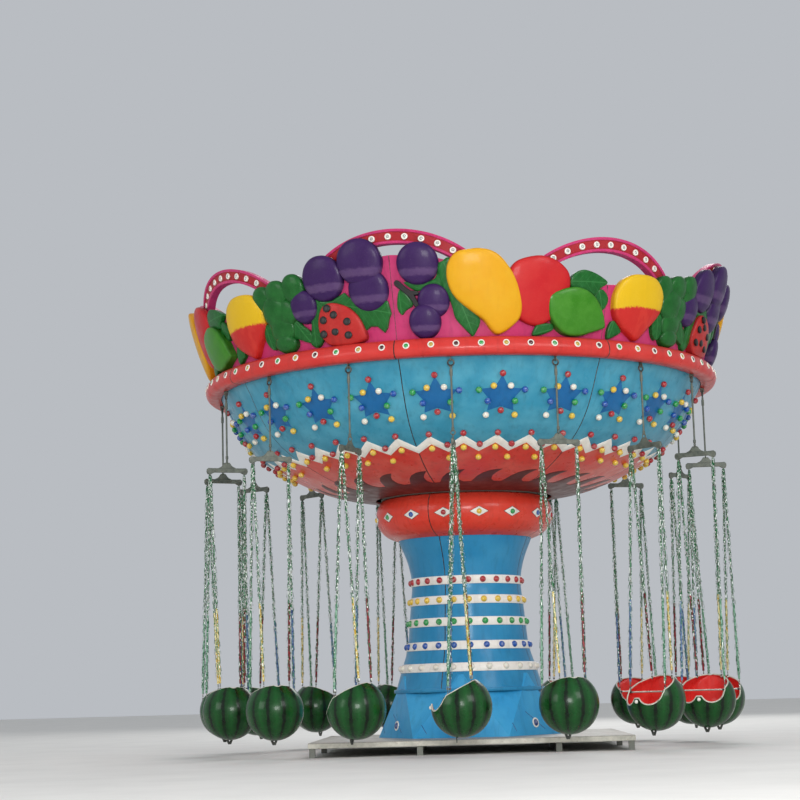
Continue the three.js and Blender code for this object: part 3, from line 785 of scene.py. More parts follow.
def catmull(points: list[np.ndarray], share: float) -> np.ndarray:
    """Give the point at a share of the way from the second of four points to the third."""
    a, b, c, d = points
    return 0.5 * (
        2 * b + (c - a) * share + (2 * a - 5 * b + 4 * c - d) * share ** 2
        + (3 * b - a - 3 * c + d) * share ** 3
    )


def turned(form: Form, profile: list[Pair], sides: int = 96, closed: bool = False) -> None:
    """Add a form turned about the ride's axis, in the first finish.

    Args:
        form: Where it goes.
        profile: Radius and height of each corner, from outside bottom up.
        sides: Number of sides.
        closed: Whether the profile closes on itself.
    """
    points = [polar(azimuth, r, z) for r, z in profile for azimuth in azimuths(sides)]
    form.add(points, quads(len(profile), sides, True, closed))


def frame_of(axis: Place) -> tuple[np.ndarray, np.ndarray, np.ndarray]:
    """Give two directions square to an axis, and the axis at length one."""
    main = np.array(axis, float) / np.linalg.norm(axis)
    helper = np.array((0.0, 0.0, 1.0)) if abs(main[2]) < 0.9 else np.array((1.0, 0.0, 0.0))
    first = np.cross(helper, main)
    first /= np.linalg.norm(first)
    return first, np.cross(main, first), main


def button(
    form: Form, centre: Place, axis: Place, profile: list[Pair], finish: str, sides: int = 14,
) -> None:
    """Add a small turned form, such as a ball, a lamp ring or a bolt.

    Args:
        form: Where it goes.
        centre: The middle of its foot.
        axis: Which way it points.
        profile: Radius and height over the foot; a last radius of zero closes it.
        finish: Name of its finish.
        sides: Number of sides.
    """
    first, second, main = frame_of(axis)
    capped = profile[-1][0] == 0.0
    rings = profile[:-1] if capped else profile
    points = [
        np.array(centre) + main * height + radius * (first * c + second * s)
        for radius, height in rings for c, s in unit_circle(sides)
    ]
    faces = quads(len(rings), sides, True)
    if capped:
        points.append(np.array(centre) + main * profile[-1][1])
        last = (len(rings) - 1) * sides
        faces += [(last + side, last + (side + 1) % sides, len(rings) * sides) for side in range(sides)]
    form.add(points, faces, finish)


def dome_profile(radius: float, height: float, foot: float = 0.0, steps: int = 4) -> list[Pair]:
    """Give the profile of a dome on a short foot."""
    turns = [0.5 * pi * i / steps for i in range(steps)]
    arc = [(radius * cos(a), foot + height * sin(a)) for a in turns]
    return [(radius, -0.004), *arc, (0.0, foot + height)]


def tube(
    form: Form, path: list[Place], radius: float | list[float], finish: str = "", sides: int = 8,
    closed: bool = False,
) -> None:
    """Add a tube along a path, with flat ends unless it closes.

    Args:
        form: Where it goes.
        path: Its middle line.
        radius: One radius, or one a point.
        finish: Name of its finish.
        sides: Number of sides.
        closed: Whether the path closes on itself.
    """
    line = np.array(path, float)
    count = len(line)
    radii = radius if isinstance(radius, list) else [radius] * count
    if closed:
        ahead = np.roll(line, -1, axis=0) - np.roll(line, 1, axis=0)
    else:
        ahead = np.gradient(line, axis=0)
    ahead /= np.linalg.norm(ahead, axis=1)[:, None]
    first, _, _ = frame_of(ahead[0])
    points = []
    for i in range(count):
        first = first - ahead[i] * np.dot(first, ahead[i])
        first /= np.linalg.norm(first)
        second = np.cross(ahead[i], first)
        points += [line[i] + radii[i] * (first * c + second * s) for c, s in unit_circle(sides)]
    faces = quads(count, sides, True, closed)
    if not closed:
        faces += [tuple(reversed(range(sides))), tuple(range((count - 1) * sides, count * sides))]
    form.add(points, faces, finish)


def plate(
    form: Form, outline: list[Pair], thick: float, matrix: Matrix, finish: str = "", edge: float = 0.0015,
) -> None:
    """Add a flat plate with eased edges.

    Args:
        form: Where it goes.
        outline: Corners, anticlockwise, in the plate's own x and y.
        thick: Its thickness, half to each side of the plane.
        matrix: Where the plane lies.
        finish: Name of its finish.
        edge: Width of the eased edge.
    """
    corners = np.array(outline, float)
    before, after = np.roll(corners, 1, axis=0), np.roll(corners, -1, axis=0)
    normals = []
    for start, here, end in zip(before, corners, after):
        sides = [np.array((b[1] - a[1], a[0] - b[0])) for a, b in ((start, here), (here, end))]
        total = sum(side / np.linalg.norm(side) for side in sides)
        normals.append(total / max(np.dot(total, total), 0.5) * 2.0)
    inner = corners - edge * np.array(normals)
    levels = [(inner, -0.5), (corners, -0.5 + edge / thick), (corners, 0.5 - edge / thick), (inner, 0.5)]
    points = [matrix @ Vector((x, y, level * thick)) for ring, level in levels for x, y in ring]
    count = len(outline)
    faces = quads(4, count, True) + [tuple(reversed(range(count))), tuple(range(3 * count, 4 * count))]
    form.add([tuple(point) for point in points], faces, finish)


def box_outline(low: Pair, high: Pair) -> list[Pair]:
    """Give the corners of a rectangle, anticlockwise."""
    return [(low[0], low[1]), (high[0], low[1]), (high[0], high[1]), (low[0], high[1])]


# Raised forms on a curved sheet


@dataclass
class Relief:
    """A raised form over a flat outline: its plan, how far each point swells, and its faces."""

    plan: np.ndarray
    swell: np.ndarray
    faces: Faces
    rim: list[Pair]
    back: np.ndarray
    back_faces: Faces


def resampled(corners: list[Pair], step: float, curved: bool) -> np.ndarray:
    """Lay points along a closed outline.

    Args:
        corners: Its corners.
        step: Distance between points.
        curved: Whether it runs smoothly through its corners.

    Returns:
        One row a point.
    """
    known = [np.array(corner, float) for corner in corners]
    count = len(known)
    line = []
    for i in range(count):
        four = [known[(i + j) % count] for j in (-1, 0, 1, 2)]
        parts = max(1, round(np.linalg.norm(four[2] - four[1]) / step))
        for part in range(parts):
            share = part / parts
            line.append(catmull(four, share) if curved else four[1] + share * (four[2] - four[1]))
    return np.array(line)


def inside_and_distance(points: np.ndarray, outline: np.ndarray) -> tuple[np.ndarray, np.ndarray]:
    """Tell which points an outline holds and how far each is from it.

    Args:
        points: One row a point.
        outline: One row a corner.

    Returns:
        Whether each is inside, and its distance.
    """
    start, end = outline, np.roll(outline, -1, axis=0)
    x, y = points[:, :1], points[:, 1:]
    crosses = (start[:, 1] > y) != (end[:, 1] > y)
    rise = np.where(end[:, 1] == start[:, 1], 1e-12, end[:, 1] - start[:, 1])
    level = (end[:, 0] - start[:, 0]) * (y - start[:, 1]) / rise + start[:, 0]
    held = np.sum(crosses & (x < level), axis=1) % 2 == 1
    edge = end - start
    length = np.maximum(np.sum(edge * edge, axis=1), 1e-12)
    share = np.clip(((x - start[:, 0]) * edge[:, 0] + (y - start[:, 1]) * edge[:, 1]) / length, 0.0, 1.0)
    gap = np.hypot(x - start[:, 0] - share * edge[:, 0], y - start[:, 1] - share * edge[:, 1])
    return held, gap.min(axis=1)


def swelling(plan: np.ndarray, faces: Faces, fixed: set[int]) -> np.ndarray:
    """Blow the form up like a skin held at its rim.

    Args:
        plan: One row a point.
        faces: Triangles.
        fixed: Points on the rim.

    Returns:
        Height of each point, from 0 at the rim to 1.
    """
    count = len(plan)
    pull = np.zeros((count, count))
    load = np.zeros(count)
    for face in faces:
        corners = plan[list(face)]
        (ax, ay), (bx, by) = corners[1] - corners[0], corners[2] - corners[0]
        area = 0.5 * abs(ax * by - ay * bx)
        if area < 1e-10:
            continue
        for k in range(3):
            i, j = face[(k + 1) % 3], face[(k + 2) % 3]
            u, v = plan[i] - plan[face[k]], plan[j] - plan[face[k]]
            weight = max(0.5 * np.dot(u, v) / (2.0 * area), 0.01)
            pull[i, i] += weight
            pull[j, j] += weight
            pull[i, j] -= weight
            pull[j, i] -= weight
            load[face[k]] += area / 3.0
    free = [i for i in range(count) if i not in fixed]
    height = np.zeros(count)
    if free:
        height[free] = np.linalg.solve(pull[np.ix_(free, free)], load[free])
    return np.clip(height / max(height.max(), 1e-12), 0.0, 1.0) ** PLATEAU


def relief(
    corners: list[Pair], step: float = 0.022, curved: bool = True, inflate: bool = True,
) -> Relief:
    """Make a raised form's plan from its outline.

    Args:
        corners: The outline, in metres.
        step: Distance between points of the outline.
        curved: Whether the outline runs smoothly through its corners.
        inflate: Whether the form swells to its middle.

    Returns:
        The plan with its faces.
    """
    outline = resampled(corners, step, curved)
    low, high = outline.min(axis=0), outline.max(axis=0)
    grid = [
        (low[0] + (i + 0.5 * (j % 2)) * 2.0 * step, low[1] + j * 1.7 * step)
        for j in range(int((high[1] - low[1]) / (1.7 * step)) + 2)
        for i in range(int((high[0] - low[0]) / (2.0 * step)) + 2)
    ]
    ahead = np.roll(outline, -1, axis=0) - np.roll(outline, 1, axis=0)
    ahead /= np.maximum(np.linalg.norm(ahead, axis=1), 1e-9)[:, None]
    square = np.stack((-ahead[:, 1], ahead[:, 0]), axis=1)
    area = np.sum(outline[:, 0] * np.roll(outline[:, 1], -1) - np.roll(outline[:, 0], -1) * outline[:, 1])
    inward = square if area > 0 else -square
    kept = []
    depths = (0.3 * step, 0.9 * step, 1.9 * step) if inflate else (0.35 * step,)
    for depth in depths:
        ring = outline + depth * inward
        held, gap = inside_and_distance(ring, outline)
        kept.append(ring[held & (gap > 0.8 * depth)])
    held, gap = inside_and_distance(np.array(grid), outline)
    kept.append(np.array(grid)[held & (gap > (2.6 if inflate else 1.0) * step)])
    points = np.concatenate([outline, *kept])
    count = len(outline)
    loop = [(i, (i + 1) % count) for i in range(count)]
    verts, _, faces, *_ = delaunay_2d_cdt([Vector(point) for point in points], loop, [], 1, 1e-6)
    plan = np.array([tuple(vert) for vert in verts])
    directed = {(face[k], face[(k + 1) % len(face)]) for face in faces for k in range(len(face))}
    rim = [pair for pair in directed if (pair[1], pair[0]) not in directed]
    fixed = {pair[0] for pair in rim}
    swell = swelling(plan, faces, fixed) if inflate else np.where(
        [i in fixed for i in range(len(plan))], 0.0, 1.0)
    flat, _, back_faces, *_ = delaunay_2d_cdt([Vector(point) for point in outline], loop, [], 1, 1e-6)
    return Relief(plan, swell, faces, rim, np.array([tuple(vert) for vert in flat]), back_faces)


def raise_on(
    form: Form, shape: Relief, mapper: Mapper, base: float, depth: float, finish: str,
    root: float = -0.002, across: np.ndarray | None = None, along: np.ndarray | None = None,
    closed: bool = False,
) -> None:
    """Add a raised form to a curved sheet.

    Args:
        form: Where it goes.
        shape: The form's plan.
        mapper: Turns plan x, plan y and height into a place.
        base: Height of its rim over the sheet.
        depth: How far its middle stands over the rim.
        finish: Name of its finish.
        root: Height where its side ends in the sheet.
        across: First paint value, or the swell.
        along: Second paint value.
        closed: Whether it gets a back.
    """
    top = [mapper(x, y, base + depth * s) for (x, y), s in zip(shape.plan, shape.swell)]
    values = shape.swell if across is None else across
    form.add(top, shape.faces, finish, values, along)
    order = sorted({i for pair in shape.rim for i in pair})
    index = {vertex: i for i, vertex in enumerate(order)}
    upper = [top[i] for i in order]
    lower = [mapper(*shape.plan[i], root) for i in order]
    walls = [
        (index[b], index[a], len(order) + index[a], len(order) + index[b]) for a, b in shape.rim
    ]
    sides = [np.asarray(values)[order]] * 2
    heights = None if along is None else np.concatenate([np.asarray(along)[order]] * 2)
    form.add(upper + lower, walls, finish, np.concatenate(sides), heights)
    if closed:
        # The outline's points come first in both plans, so the back takes their paint values
        rear = [mapper(x, y, root) for x, y in shape.back]
        first, second = (None if row is None else np.asarray(row)[:len(rear)] for row in (values, along))
        form.add(rear, flipped(shape.back_faces), finish, first, second)


class Skin:
    """A turned sheet's outer face, addressed by azimuth and by length along its profile."""

    def __init__(self, profile: list[Pair], parts: int = 6) -> None:
        """Lay a smooth line through the profile."""
        line = np.array(smooth_path(profile, parts) if parts > 1 else profile)
        steps = np.linalg.norm(np.diff(line, axis=0), axis=1)
        self.run = np.concatenate(([0.0], np.cumsum(steps)))
        self.radius, self.height = line[:, 0], line[:, 1]
        slope = np.gradient(line, self.run, axis=0)
        slope /= np.linalg.norm(slope, axis=1)[:, None]
        self.normal = np.stack((slope[:, 1], -slope[:, 0]), axis=1)

    def run_at_height(self, height: float) -> float:
        """Give the length along the profile at a height."""
        return float(np.interp(height, self.height, self.run))

    def run_at_radius(self, radius: float) -> float:
        """Give the length along the profile at a radius."""
        return float(np.interp(radius, self.radius, self.run))

    def at(self, azimuth: float, run: float, out: float = 0.0) -> Point:
        """Give the place at a length along the profile, and out from it."""
        r, z, nr, nz = (
            float(np.interp(run, self.run, values))
            for values in (self.radius, self.height, self.normal[:, 0], self.normal[:, 1])
        )
        return polar(azimuth, r + out * nr, z + out * nz)

    def facing(self, azimuth: float, run: float) -> np.ndarray:
        """Give the direction outwards at a place."""
        return way(self.at(azimuth, run), self.at(azimuth, run, 1.0))

    def mapper(self, middle: float, width: float, run_of: Callable[[float], float]) -> Mapper:
        """Give the mapper about an azimuth, from x at so many metres a degree, y and height."""
        return lambda x, y, out: self.at(middle + x / width, run_of(y), out)

    def sheet(
        self, form: Form, start: float, end: float, seams: list[float], columns: int,
        groove: Pair = (0.011, 0.008), wall: float = 0.014, edge: Callable[[float], float] | None = None,
    ) -> None:
        """Add the sheet between two lengths, with a groove at each seam and its inner face.

        Args:
            form: Where it goes; the sheet takes its first finish.
            start: First length along the profile.
            end: Last length.
            seams: Azimuths of the seams, which share the circle equally.
            columns: Points between two seams.
            groove: Width and depth of a seam's groove.
            wall: Thickness, or zero for the outer face alone.
            edge: Radius of a paint edge at an azimuth, for the value along.
        """
        runs = [start, *[run for run in self.run if start + 0.004 < run < end - 0.004], end]
        share = 360.0 / len(seams)
        outer, inner, paint = [], [], []
        for run in runs:
            radius = float(np.interp(run, self.run, self.radius))
            half = degrees(0.5 * groove[0] / radius)
            for seam in seams:
                places = [(seam, -groove[1]), (seam + half, 0.0)]
                places += [(seam + share * column / columns, 0.0) for column in range(1, columns)]
                places.append((seam + share - half, 0.0))
                outer += [self.at(azimuth, run, inset) for azimuth, inset in places]
                inner += [self.at(azimuth, run, -wall) for azimuth, _ in places]
                paint += [radius - edge(azimuth) if edge else 0.0 for azimuth, _ in places]
        width, rows = len(seams) * (columns + 2), len(runs)
        grid = quads(rows, width, True)
        # The faces on both sides of a seam's lowest line are painted dark: grime in the joint and painted
        # shade in its groove
        joints = [face for face in grid if face[0] % width % (columns + 2) in (0, columns + 1)]
        dark_joint_set = set(joints)
        form.add(outer, [face for face in grid if face not in dark_joint_set], along=paint)
        form.add(outer, joints, "joint_grime_and_painted_shade")
        if not wall:
            return
        form.add(inner, flipped(grid), along=paint)
        for row in (0, rows - 1):
            ring = slice(row * width, (row + 1) * width)
            rim = quads(2, width, True)
            faces = rim if row else flipped(rim)
            form.add(outer[ring] + inner[ring], faces, along=paint[ring] * 2)


# Sub-assemblies


@dataclass
class Studio:
    """Camera at the photograph's viewing angle, pale floor and soft light."""

    lens: float = 86.64
    position: Point = (0.0, -23.0095, 0.68)
    turn_deg: float = 1.8153
    tilt_deg: float = 98.641
    roll_deg: float = -1.5718
    floor_half: float = 60.0
    lights: list[tuple[str, Point, float, float]] = field(default_factory=lambda: [
        ("key_light", (12.0, -17.0, 11.0), 8.0, 1150.0),
        ("fill_light", (-15.0, -13.0, 7.6), 8.0, 590.0),
        ("rear_light", (3.0, 16.0, 12.0), 10.0, 1150.0),
        ("low_light", (1.0, -20.0, 4.4), 4.4, 1200.0),
    ])

    def camera(self) -> None:
        """Set the camera."""
        data = bpy.data.cameras.new("photo_camera")
        data.lens = self.lens
        data.sensor_width = 36.0
        data.clip_end = 300.0
        camera = bpy.data.objects.new("photo_camera", data)
        bpy.context.scene.collection.objects.link(camera)
        turns = rotation(self.turn_deg) @ rotation(self.tilt_deg, "X") @ rotation(self.roll_deg)
        camera.matrix_world = Matrix.Translation(self.position) @ turns
        bpy.context.scene.camera = camera

    def room(self) -> None:
        """Lay the floor and hang the lights."""
        form = Form("pale_floor")
        half = self.floor_half
        steps = np.linspace(-half, half, 9)
        form.add([(x, y, 0.0) for y in steps for x in steps], quads(9, 9))
        floor = bpy.data.objects.new("studio_floor", form.mesh("studio_floor"))
        bpy.context.scene.collection.objects.link(floor)
        floor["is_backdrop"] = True
        world = bpy.data.worlds.new("studio_air")
        world.use_nodes = True
        background = world.node_tree.nodes["Background"]
        background.inputs[0].default_value = (0.9, 0.94, 1.0, 1.0)
        background.inputs[1].default_value = 0.54
        bpy.context.scene.world = world
        bpy.context.scene.view_settings.view_transform = "Standard"
        for name, position, size, power in self.lights:
            data = bpy.data.lights.new(name, "AREA")
            data.size = size
            data.energy = power
            lamp = bpy.data.objects.new(name, data)
            bpy.context.scene.collection.objects.link(lamp)
            aim = Vector((0.0, 0.0, 3.0)) - Vector(position)
            turn = aim.to_track_quat("-Z", "Y").to_matrix().to_4x4()
            lamp.matrix_world = Matrix.Translation(position) @ turn


@dataclass
class Deck:
    """Low platform: chequer plates in a cream steel edge on a frame with short legs."""

    half: float = 1.78
    top: float = 0.16
    thick: float = 0.008
    joint: float = 0.004
    columns: tuple[float, ...] = (-1.78, -0.56, 0.95, 1.78)
    rows: tuple[float, ...] = (-1.78, 0.0, 1.78)
    bolt_pitch: float = 0.3
    bolt_free_radius: float = 1.16

    def plates(self) -> None:
        """Lay the plates with their bolts."""
        form = Form("chequer_deck_plate", "frame_steel_paint")
        level = self.top - 0.5 * self.thick
        for x0, x1 in zip(self.columns, self.columns[1:]):
            for y0, y1 in zip(self.rows, self.rows[1:]):
                low = (x0 + self.joint / 2, y0 + self.joint / 2)
                high = (x1 - self.joint / 2, y1 - self.joint / 2)
                plate(form, box_outline(low, high), self.thick, Matrix.Translation((0, 0, level)))
                self.bolts(form, low, high)
        form.place("deck_plates", "tower", Slot.DECK, ("base_deck",))

    def bolts(self, form: Form, low: Pair, high: Pair) -> None:
        """Set countersunk bolts round one plate.

        Args:
            form: Where they go.
            low: The plate's lowest corner.
            high: Its highest corner.
        """
        inset, seat = 0.035, self.top - 0.0015
        head = [(0.011, 0.0), (0.011, 0.0012), (0.006, 0.0014), (0.0, 0.0004)]
        for axis in (0, 1):
            length = high[axis] - low[axis] - 2 * inset
            count = max(2, round(length / self.bolt_pitch) + 1)
            for i in range(count):
                run = low[axis] + inset + length * i / (count - 1)
                for side in (low[1 - axis] + inset, high[1 - axis] - inset):
                    place = (run, side, seat) if axis == 0 else (side, run, seat)
                    if hypot(place[0], place[1]) > self.bolt_free_radius:
                        button(form, place, (0, 0, 1), head, "frame_steel_paint", 8)

    def edge(self) -> None:
        """Run the cream edge strip round the frame under the plates."""
        form = Form("cream_steel_paint")
        height, proud = 0.05, 0.003
        stand = upright(0, -self.half + proud / 2, self.top - self.thick - height / 2)
        outline = box_outline((-self.half + 0.002, -height / 2), (self.half - 0.002, height / 2))
        for side in range(4):
            plate(form, outline, proud, rotation(90.0 * side) @ stand, edge=0.0008)
        form.place("deck_edge_strips", "tower", Slot.STEEL)

    def build(self) -> None:
        """Build the deck."""
        self.plates()
        self.edge()


@dataclass
class Tower:
    """Plinth of flat triangles, flared shell with ball bands, and the collar."""

    shell: list[Pair] = field(default_factory=lambda: [
        (0.870, 0.690), (0.791, 0.950), (0.716, 1.200), (0.688, 1.480), (0.664, 1.730), (0.646, 1.960),
        (0.690, 2.200), (0.790, 2.460),
    ])
    collar: list[Pair] = field(default_factory=lambda: [
        (0.800, 2.460), (0.930, 2.520), (1.020, 2.620), (1.052, 2.740), (1.035, 2.850), (0.985, 2.930),
    ])
    bands: tuple[tuple[float, str], ...] = (
        (0.951, "ball_white"), (1.202, "ball_blue"), (1.476, "ball_green"), (1.7285, "ball_yellow"),
        (1.9585, "ball_red"),
    )
    band_height: float = 0.098
    band_proud: float = 0.012
    band_balls: int = 24
    ball_radius: float = 0.037
    seam_deg: float = -22.0
    collar_seam_deg: float = -23.0
    plinth_sides: int = 6
    plinth_top: tuple[float, float, float] = (53.0, 0.835, 0.87)
    plinth_foot: tuple[float, float, float] = (23.0, 1.10, 0.16)
    plinth_lines: tuple[tuple[Pair, Pair], ...] = (
        ((-0.45, 0.15), (-0.39, 0.05)), ((-0.165, 0.27), (0.17, 0.065)),
    )
    dome_height: float = 0.3
    dome_radius: float = 0.038

    def facet_point(self, index: int, across: float, up: float, out: float = 0.0) -> Point:
        """Give a place on an upright facet of the plinth.

        Args:
            index: Which facet.
            across: Distance from its middle line.
            up: Height above its foot.
            out: Distance outwards.

        Returns:
            The place.
        """
        turn = 360.0 / self.plinth_sides
        middle = radians(self.plinth_top[0] + turn * index)
        foot_reach = self.plinth_foot[1] * cos(radians(turn / 2))
        foot = np.array((foot_reach, self.plinth_foot[2]))
        top = np.array(self.plinth_top[1:])
        slope = (top - foot) / np.linalg.norm(top - foot)
        share = up / slope[1]
        reach, height = foot + slope * share + np.array((slope[1], -slope[0])) * out
        x = reach * sin(middle) + across * cos(middle)
        y = -reach * cos(middle) + across * sin(middle)
        return (x, y, float(height))

    def plinth(self) -> None:
        """Fold the plinth out of triangles, upright ones between hanging ones."""
        # A lighter blue than the shaft's, as painted sunlight on the plinth
        form = Form("plinth_blue_with_painted_sunlight")
        top, foot = (
            [polar(azimuth, *place) for azimuth in azimuths(self.plinth_sides, first)]
            for first, *place in (self.plinth_top, self.plinth_foot)
        )
        for i in range(self.plinth_sides):
            after = (i + 1) % self.plinth_sides
            self.facet(form, foot[i], foot[after], top[i])
            self.facet(form, top[i], foot[after], top[after])
        form.place("plinth_facets", "tower", Slot.TOWER, ("tower_skirt",), 20.0)
        trim = Form("dome_dark_blue", "lamp_white_ring")
        for i in range(self.plinth_sides):
            centre = self.facet_point(i, 0.0, self.dome_height - self.plinth_foot[2])
            out = way(self.facet_point(i, 0.0, 0.1), self.facet_point(i, 0.0, 0.1, 1.0))
            ring = [(0.058, -0.003), (0.058, 0.006), (0.054, 0.01), (0.043, 0.01), (0.039, 0.004)]
            button(trim, centre, out, ring, "lamp_white_ring", 28)
            button(trim, centre, out, dome_profile(self.dome_radius, 0.024, 0.004, 5), "dome_dark_blue", 24)
            for line in self.plinth_lines:
                start, end = (np.array(self.facet_point(i, across, up)) for across, up in line)
                path = [start * (1 - share) + end * share for share in (0.0, 0.5, 1.0)]
                tube(trim, path, 0.0035, "dome_dark_blue", 6)
        trim.place("plinth_domes", "tower", Slot.TOWER)

    def facet(self, form: Form, a: Point, b: Point, c: Point, parts: int = 10) -> None:
        """Add one flat triangle, cut fine enough for its paint.

        Args:
            form: Where it goes.
            a: First corner.
            b: Second corner.
            c: Third corner.
            parts: Pieces along a side.
        """
        corners = [np.array(corner) for corner in (a, b, c)]
        points, faces, index = [], [], {}
        for i in range(parts + 1):
            for j in range(parts + 1 - i):
                index[i, j] = len(points)
                points.append((corners[0] * (parts - i - j) + corners[1] * i + corners[2] * j) / parts)
        for i in range(parts):
            for j in range(parts - i):
                faces.append((index[i, j], index[i + 1, j], index[i, j + 1]))
                if i + j < parts - 1:
                    faces.append((index[i + 1, j], index[i + 1, j + 1], index[i, j + 1]))
        form.add(points, faces)

    def shaft(self) -> None:
        """Turn the shell with its flanges, bands and balls."""
        skin = Skin(self.shell)
        form = Form("tower_blue_gelcoat")
        skin.sheet(form, 0.0, float(skin.run[-1]), azimuths(4, self.seam_deg), 24)
        flange = [
            (0.85, 0.672), (0.888, 0.672), (0.892, 0.68), (0.892, 0.704), (0.888, 0.712), (0.862, 0.714),
        ]
        turned(form, flange, closed=True)
        form.place("tower_shell_sheet", "tower", Slot.TOWER, ("tower_shell",))
        band_form = Form("white_gelcoat")
        balls = Form("ball_white")
        for middle, finish in self.bands:
            low, high = (skin.run_at_height(middle + side * self.band_height / 2) for side in (-1, 1))
            section = [(low, -0.002), (low, 0.008), (low + 0.005, self.band_proud),
                       (high - 0.005, self.band_proud), (high, 0.008), (high, -0.002)]
            points = [skin.at(azimuth, run, out) for run, out in section for azimuth in azimuths(96)]
            band_form.add(points, quads(len(section), 96, True))
            run = 0.5 * (low + high)
            ball = dome_profile(self.ball_radius, 0.03, 0.004)
            for azimuth in azimuths(self.band_balls):
                button(balls, skin.at(azimuth, run, self.band_proud), skin.facing(azimuth, run), ball, finish)
        band_form.place("tower_bands", "tower", Slot.TOWER)
        balls.place("tower_band_balls", "tower", Slot.TOWER)

    def crown_collar(self) -> None:
        """Turn the collar and set lozenges with a gem in each."""
        skin = Skin(self.collar)
        form = Form("red_gelcoat")
        skin.sheet(form, 0.0, float(skin.run[-1]), azimuths(4, self.collar_seam_deg), 24)
        lid = [(0.985, 2.93), (0.96, 2.944), (0.74, 2.93), (0.74, 2.46), (0.8, 2.46)]
        turned(form, lid)
        form.place("collar_sheet", "tower", Slot.RED, ("tower_collar",))
        trim = Form("white_gelcoat")
        gems = ("ball_red", "ball_yellow", "ball_green", "ball_blue")
        middle = skin.run_at_height(2.71)
        corners = [(-0.105, 0.0), (0.0, -0.055), (0.105, 0.0), (0.0, 0.055)]
        lozenge = relief(corners, 0.02, False, False)
        # A dark lozenge a little larger than the white one lies under it: its rim round the white lozenge is
        # a painted shadow
        lozenge_shadow = relief([(1.1 * x, 1.1 * y) for x, y in corners], 0.022, False, False)
        width, gem = radians(1.0) * 1.05, dome_profile(0.03, 0.018, 0.003)
        for k, azimuth in enumerate(azimuths(CHAIRS)):
            mapper = skin.mapper(azimuth, width, lambda y: middle + y)
            raise_on(trim, lozenge_shadow, mapper, 0.001, 0.0015, "joint_grime_and_painted_shade")
            raise_on(trim, lozenge, mapper, 0.003, 0.004, "white_gelcoat")
            seat = skin.at(azimuth, middle, 0.006)
            button(trim, seat, skin.facing(azimuth, middle), gem, gems[k % 4], 16)
        trim.place("collar_lozenges", "tower", Slot.TOWER)

    def build(self) -> None:
        """Build the tower."""
        self.plinth()
        self.shaft()
        self.crown_collar()


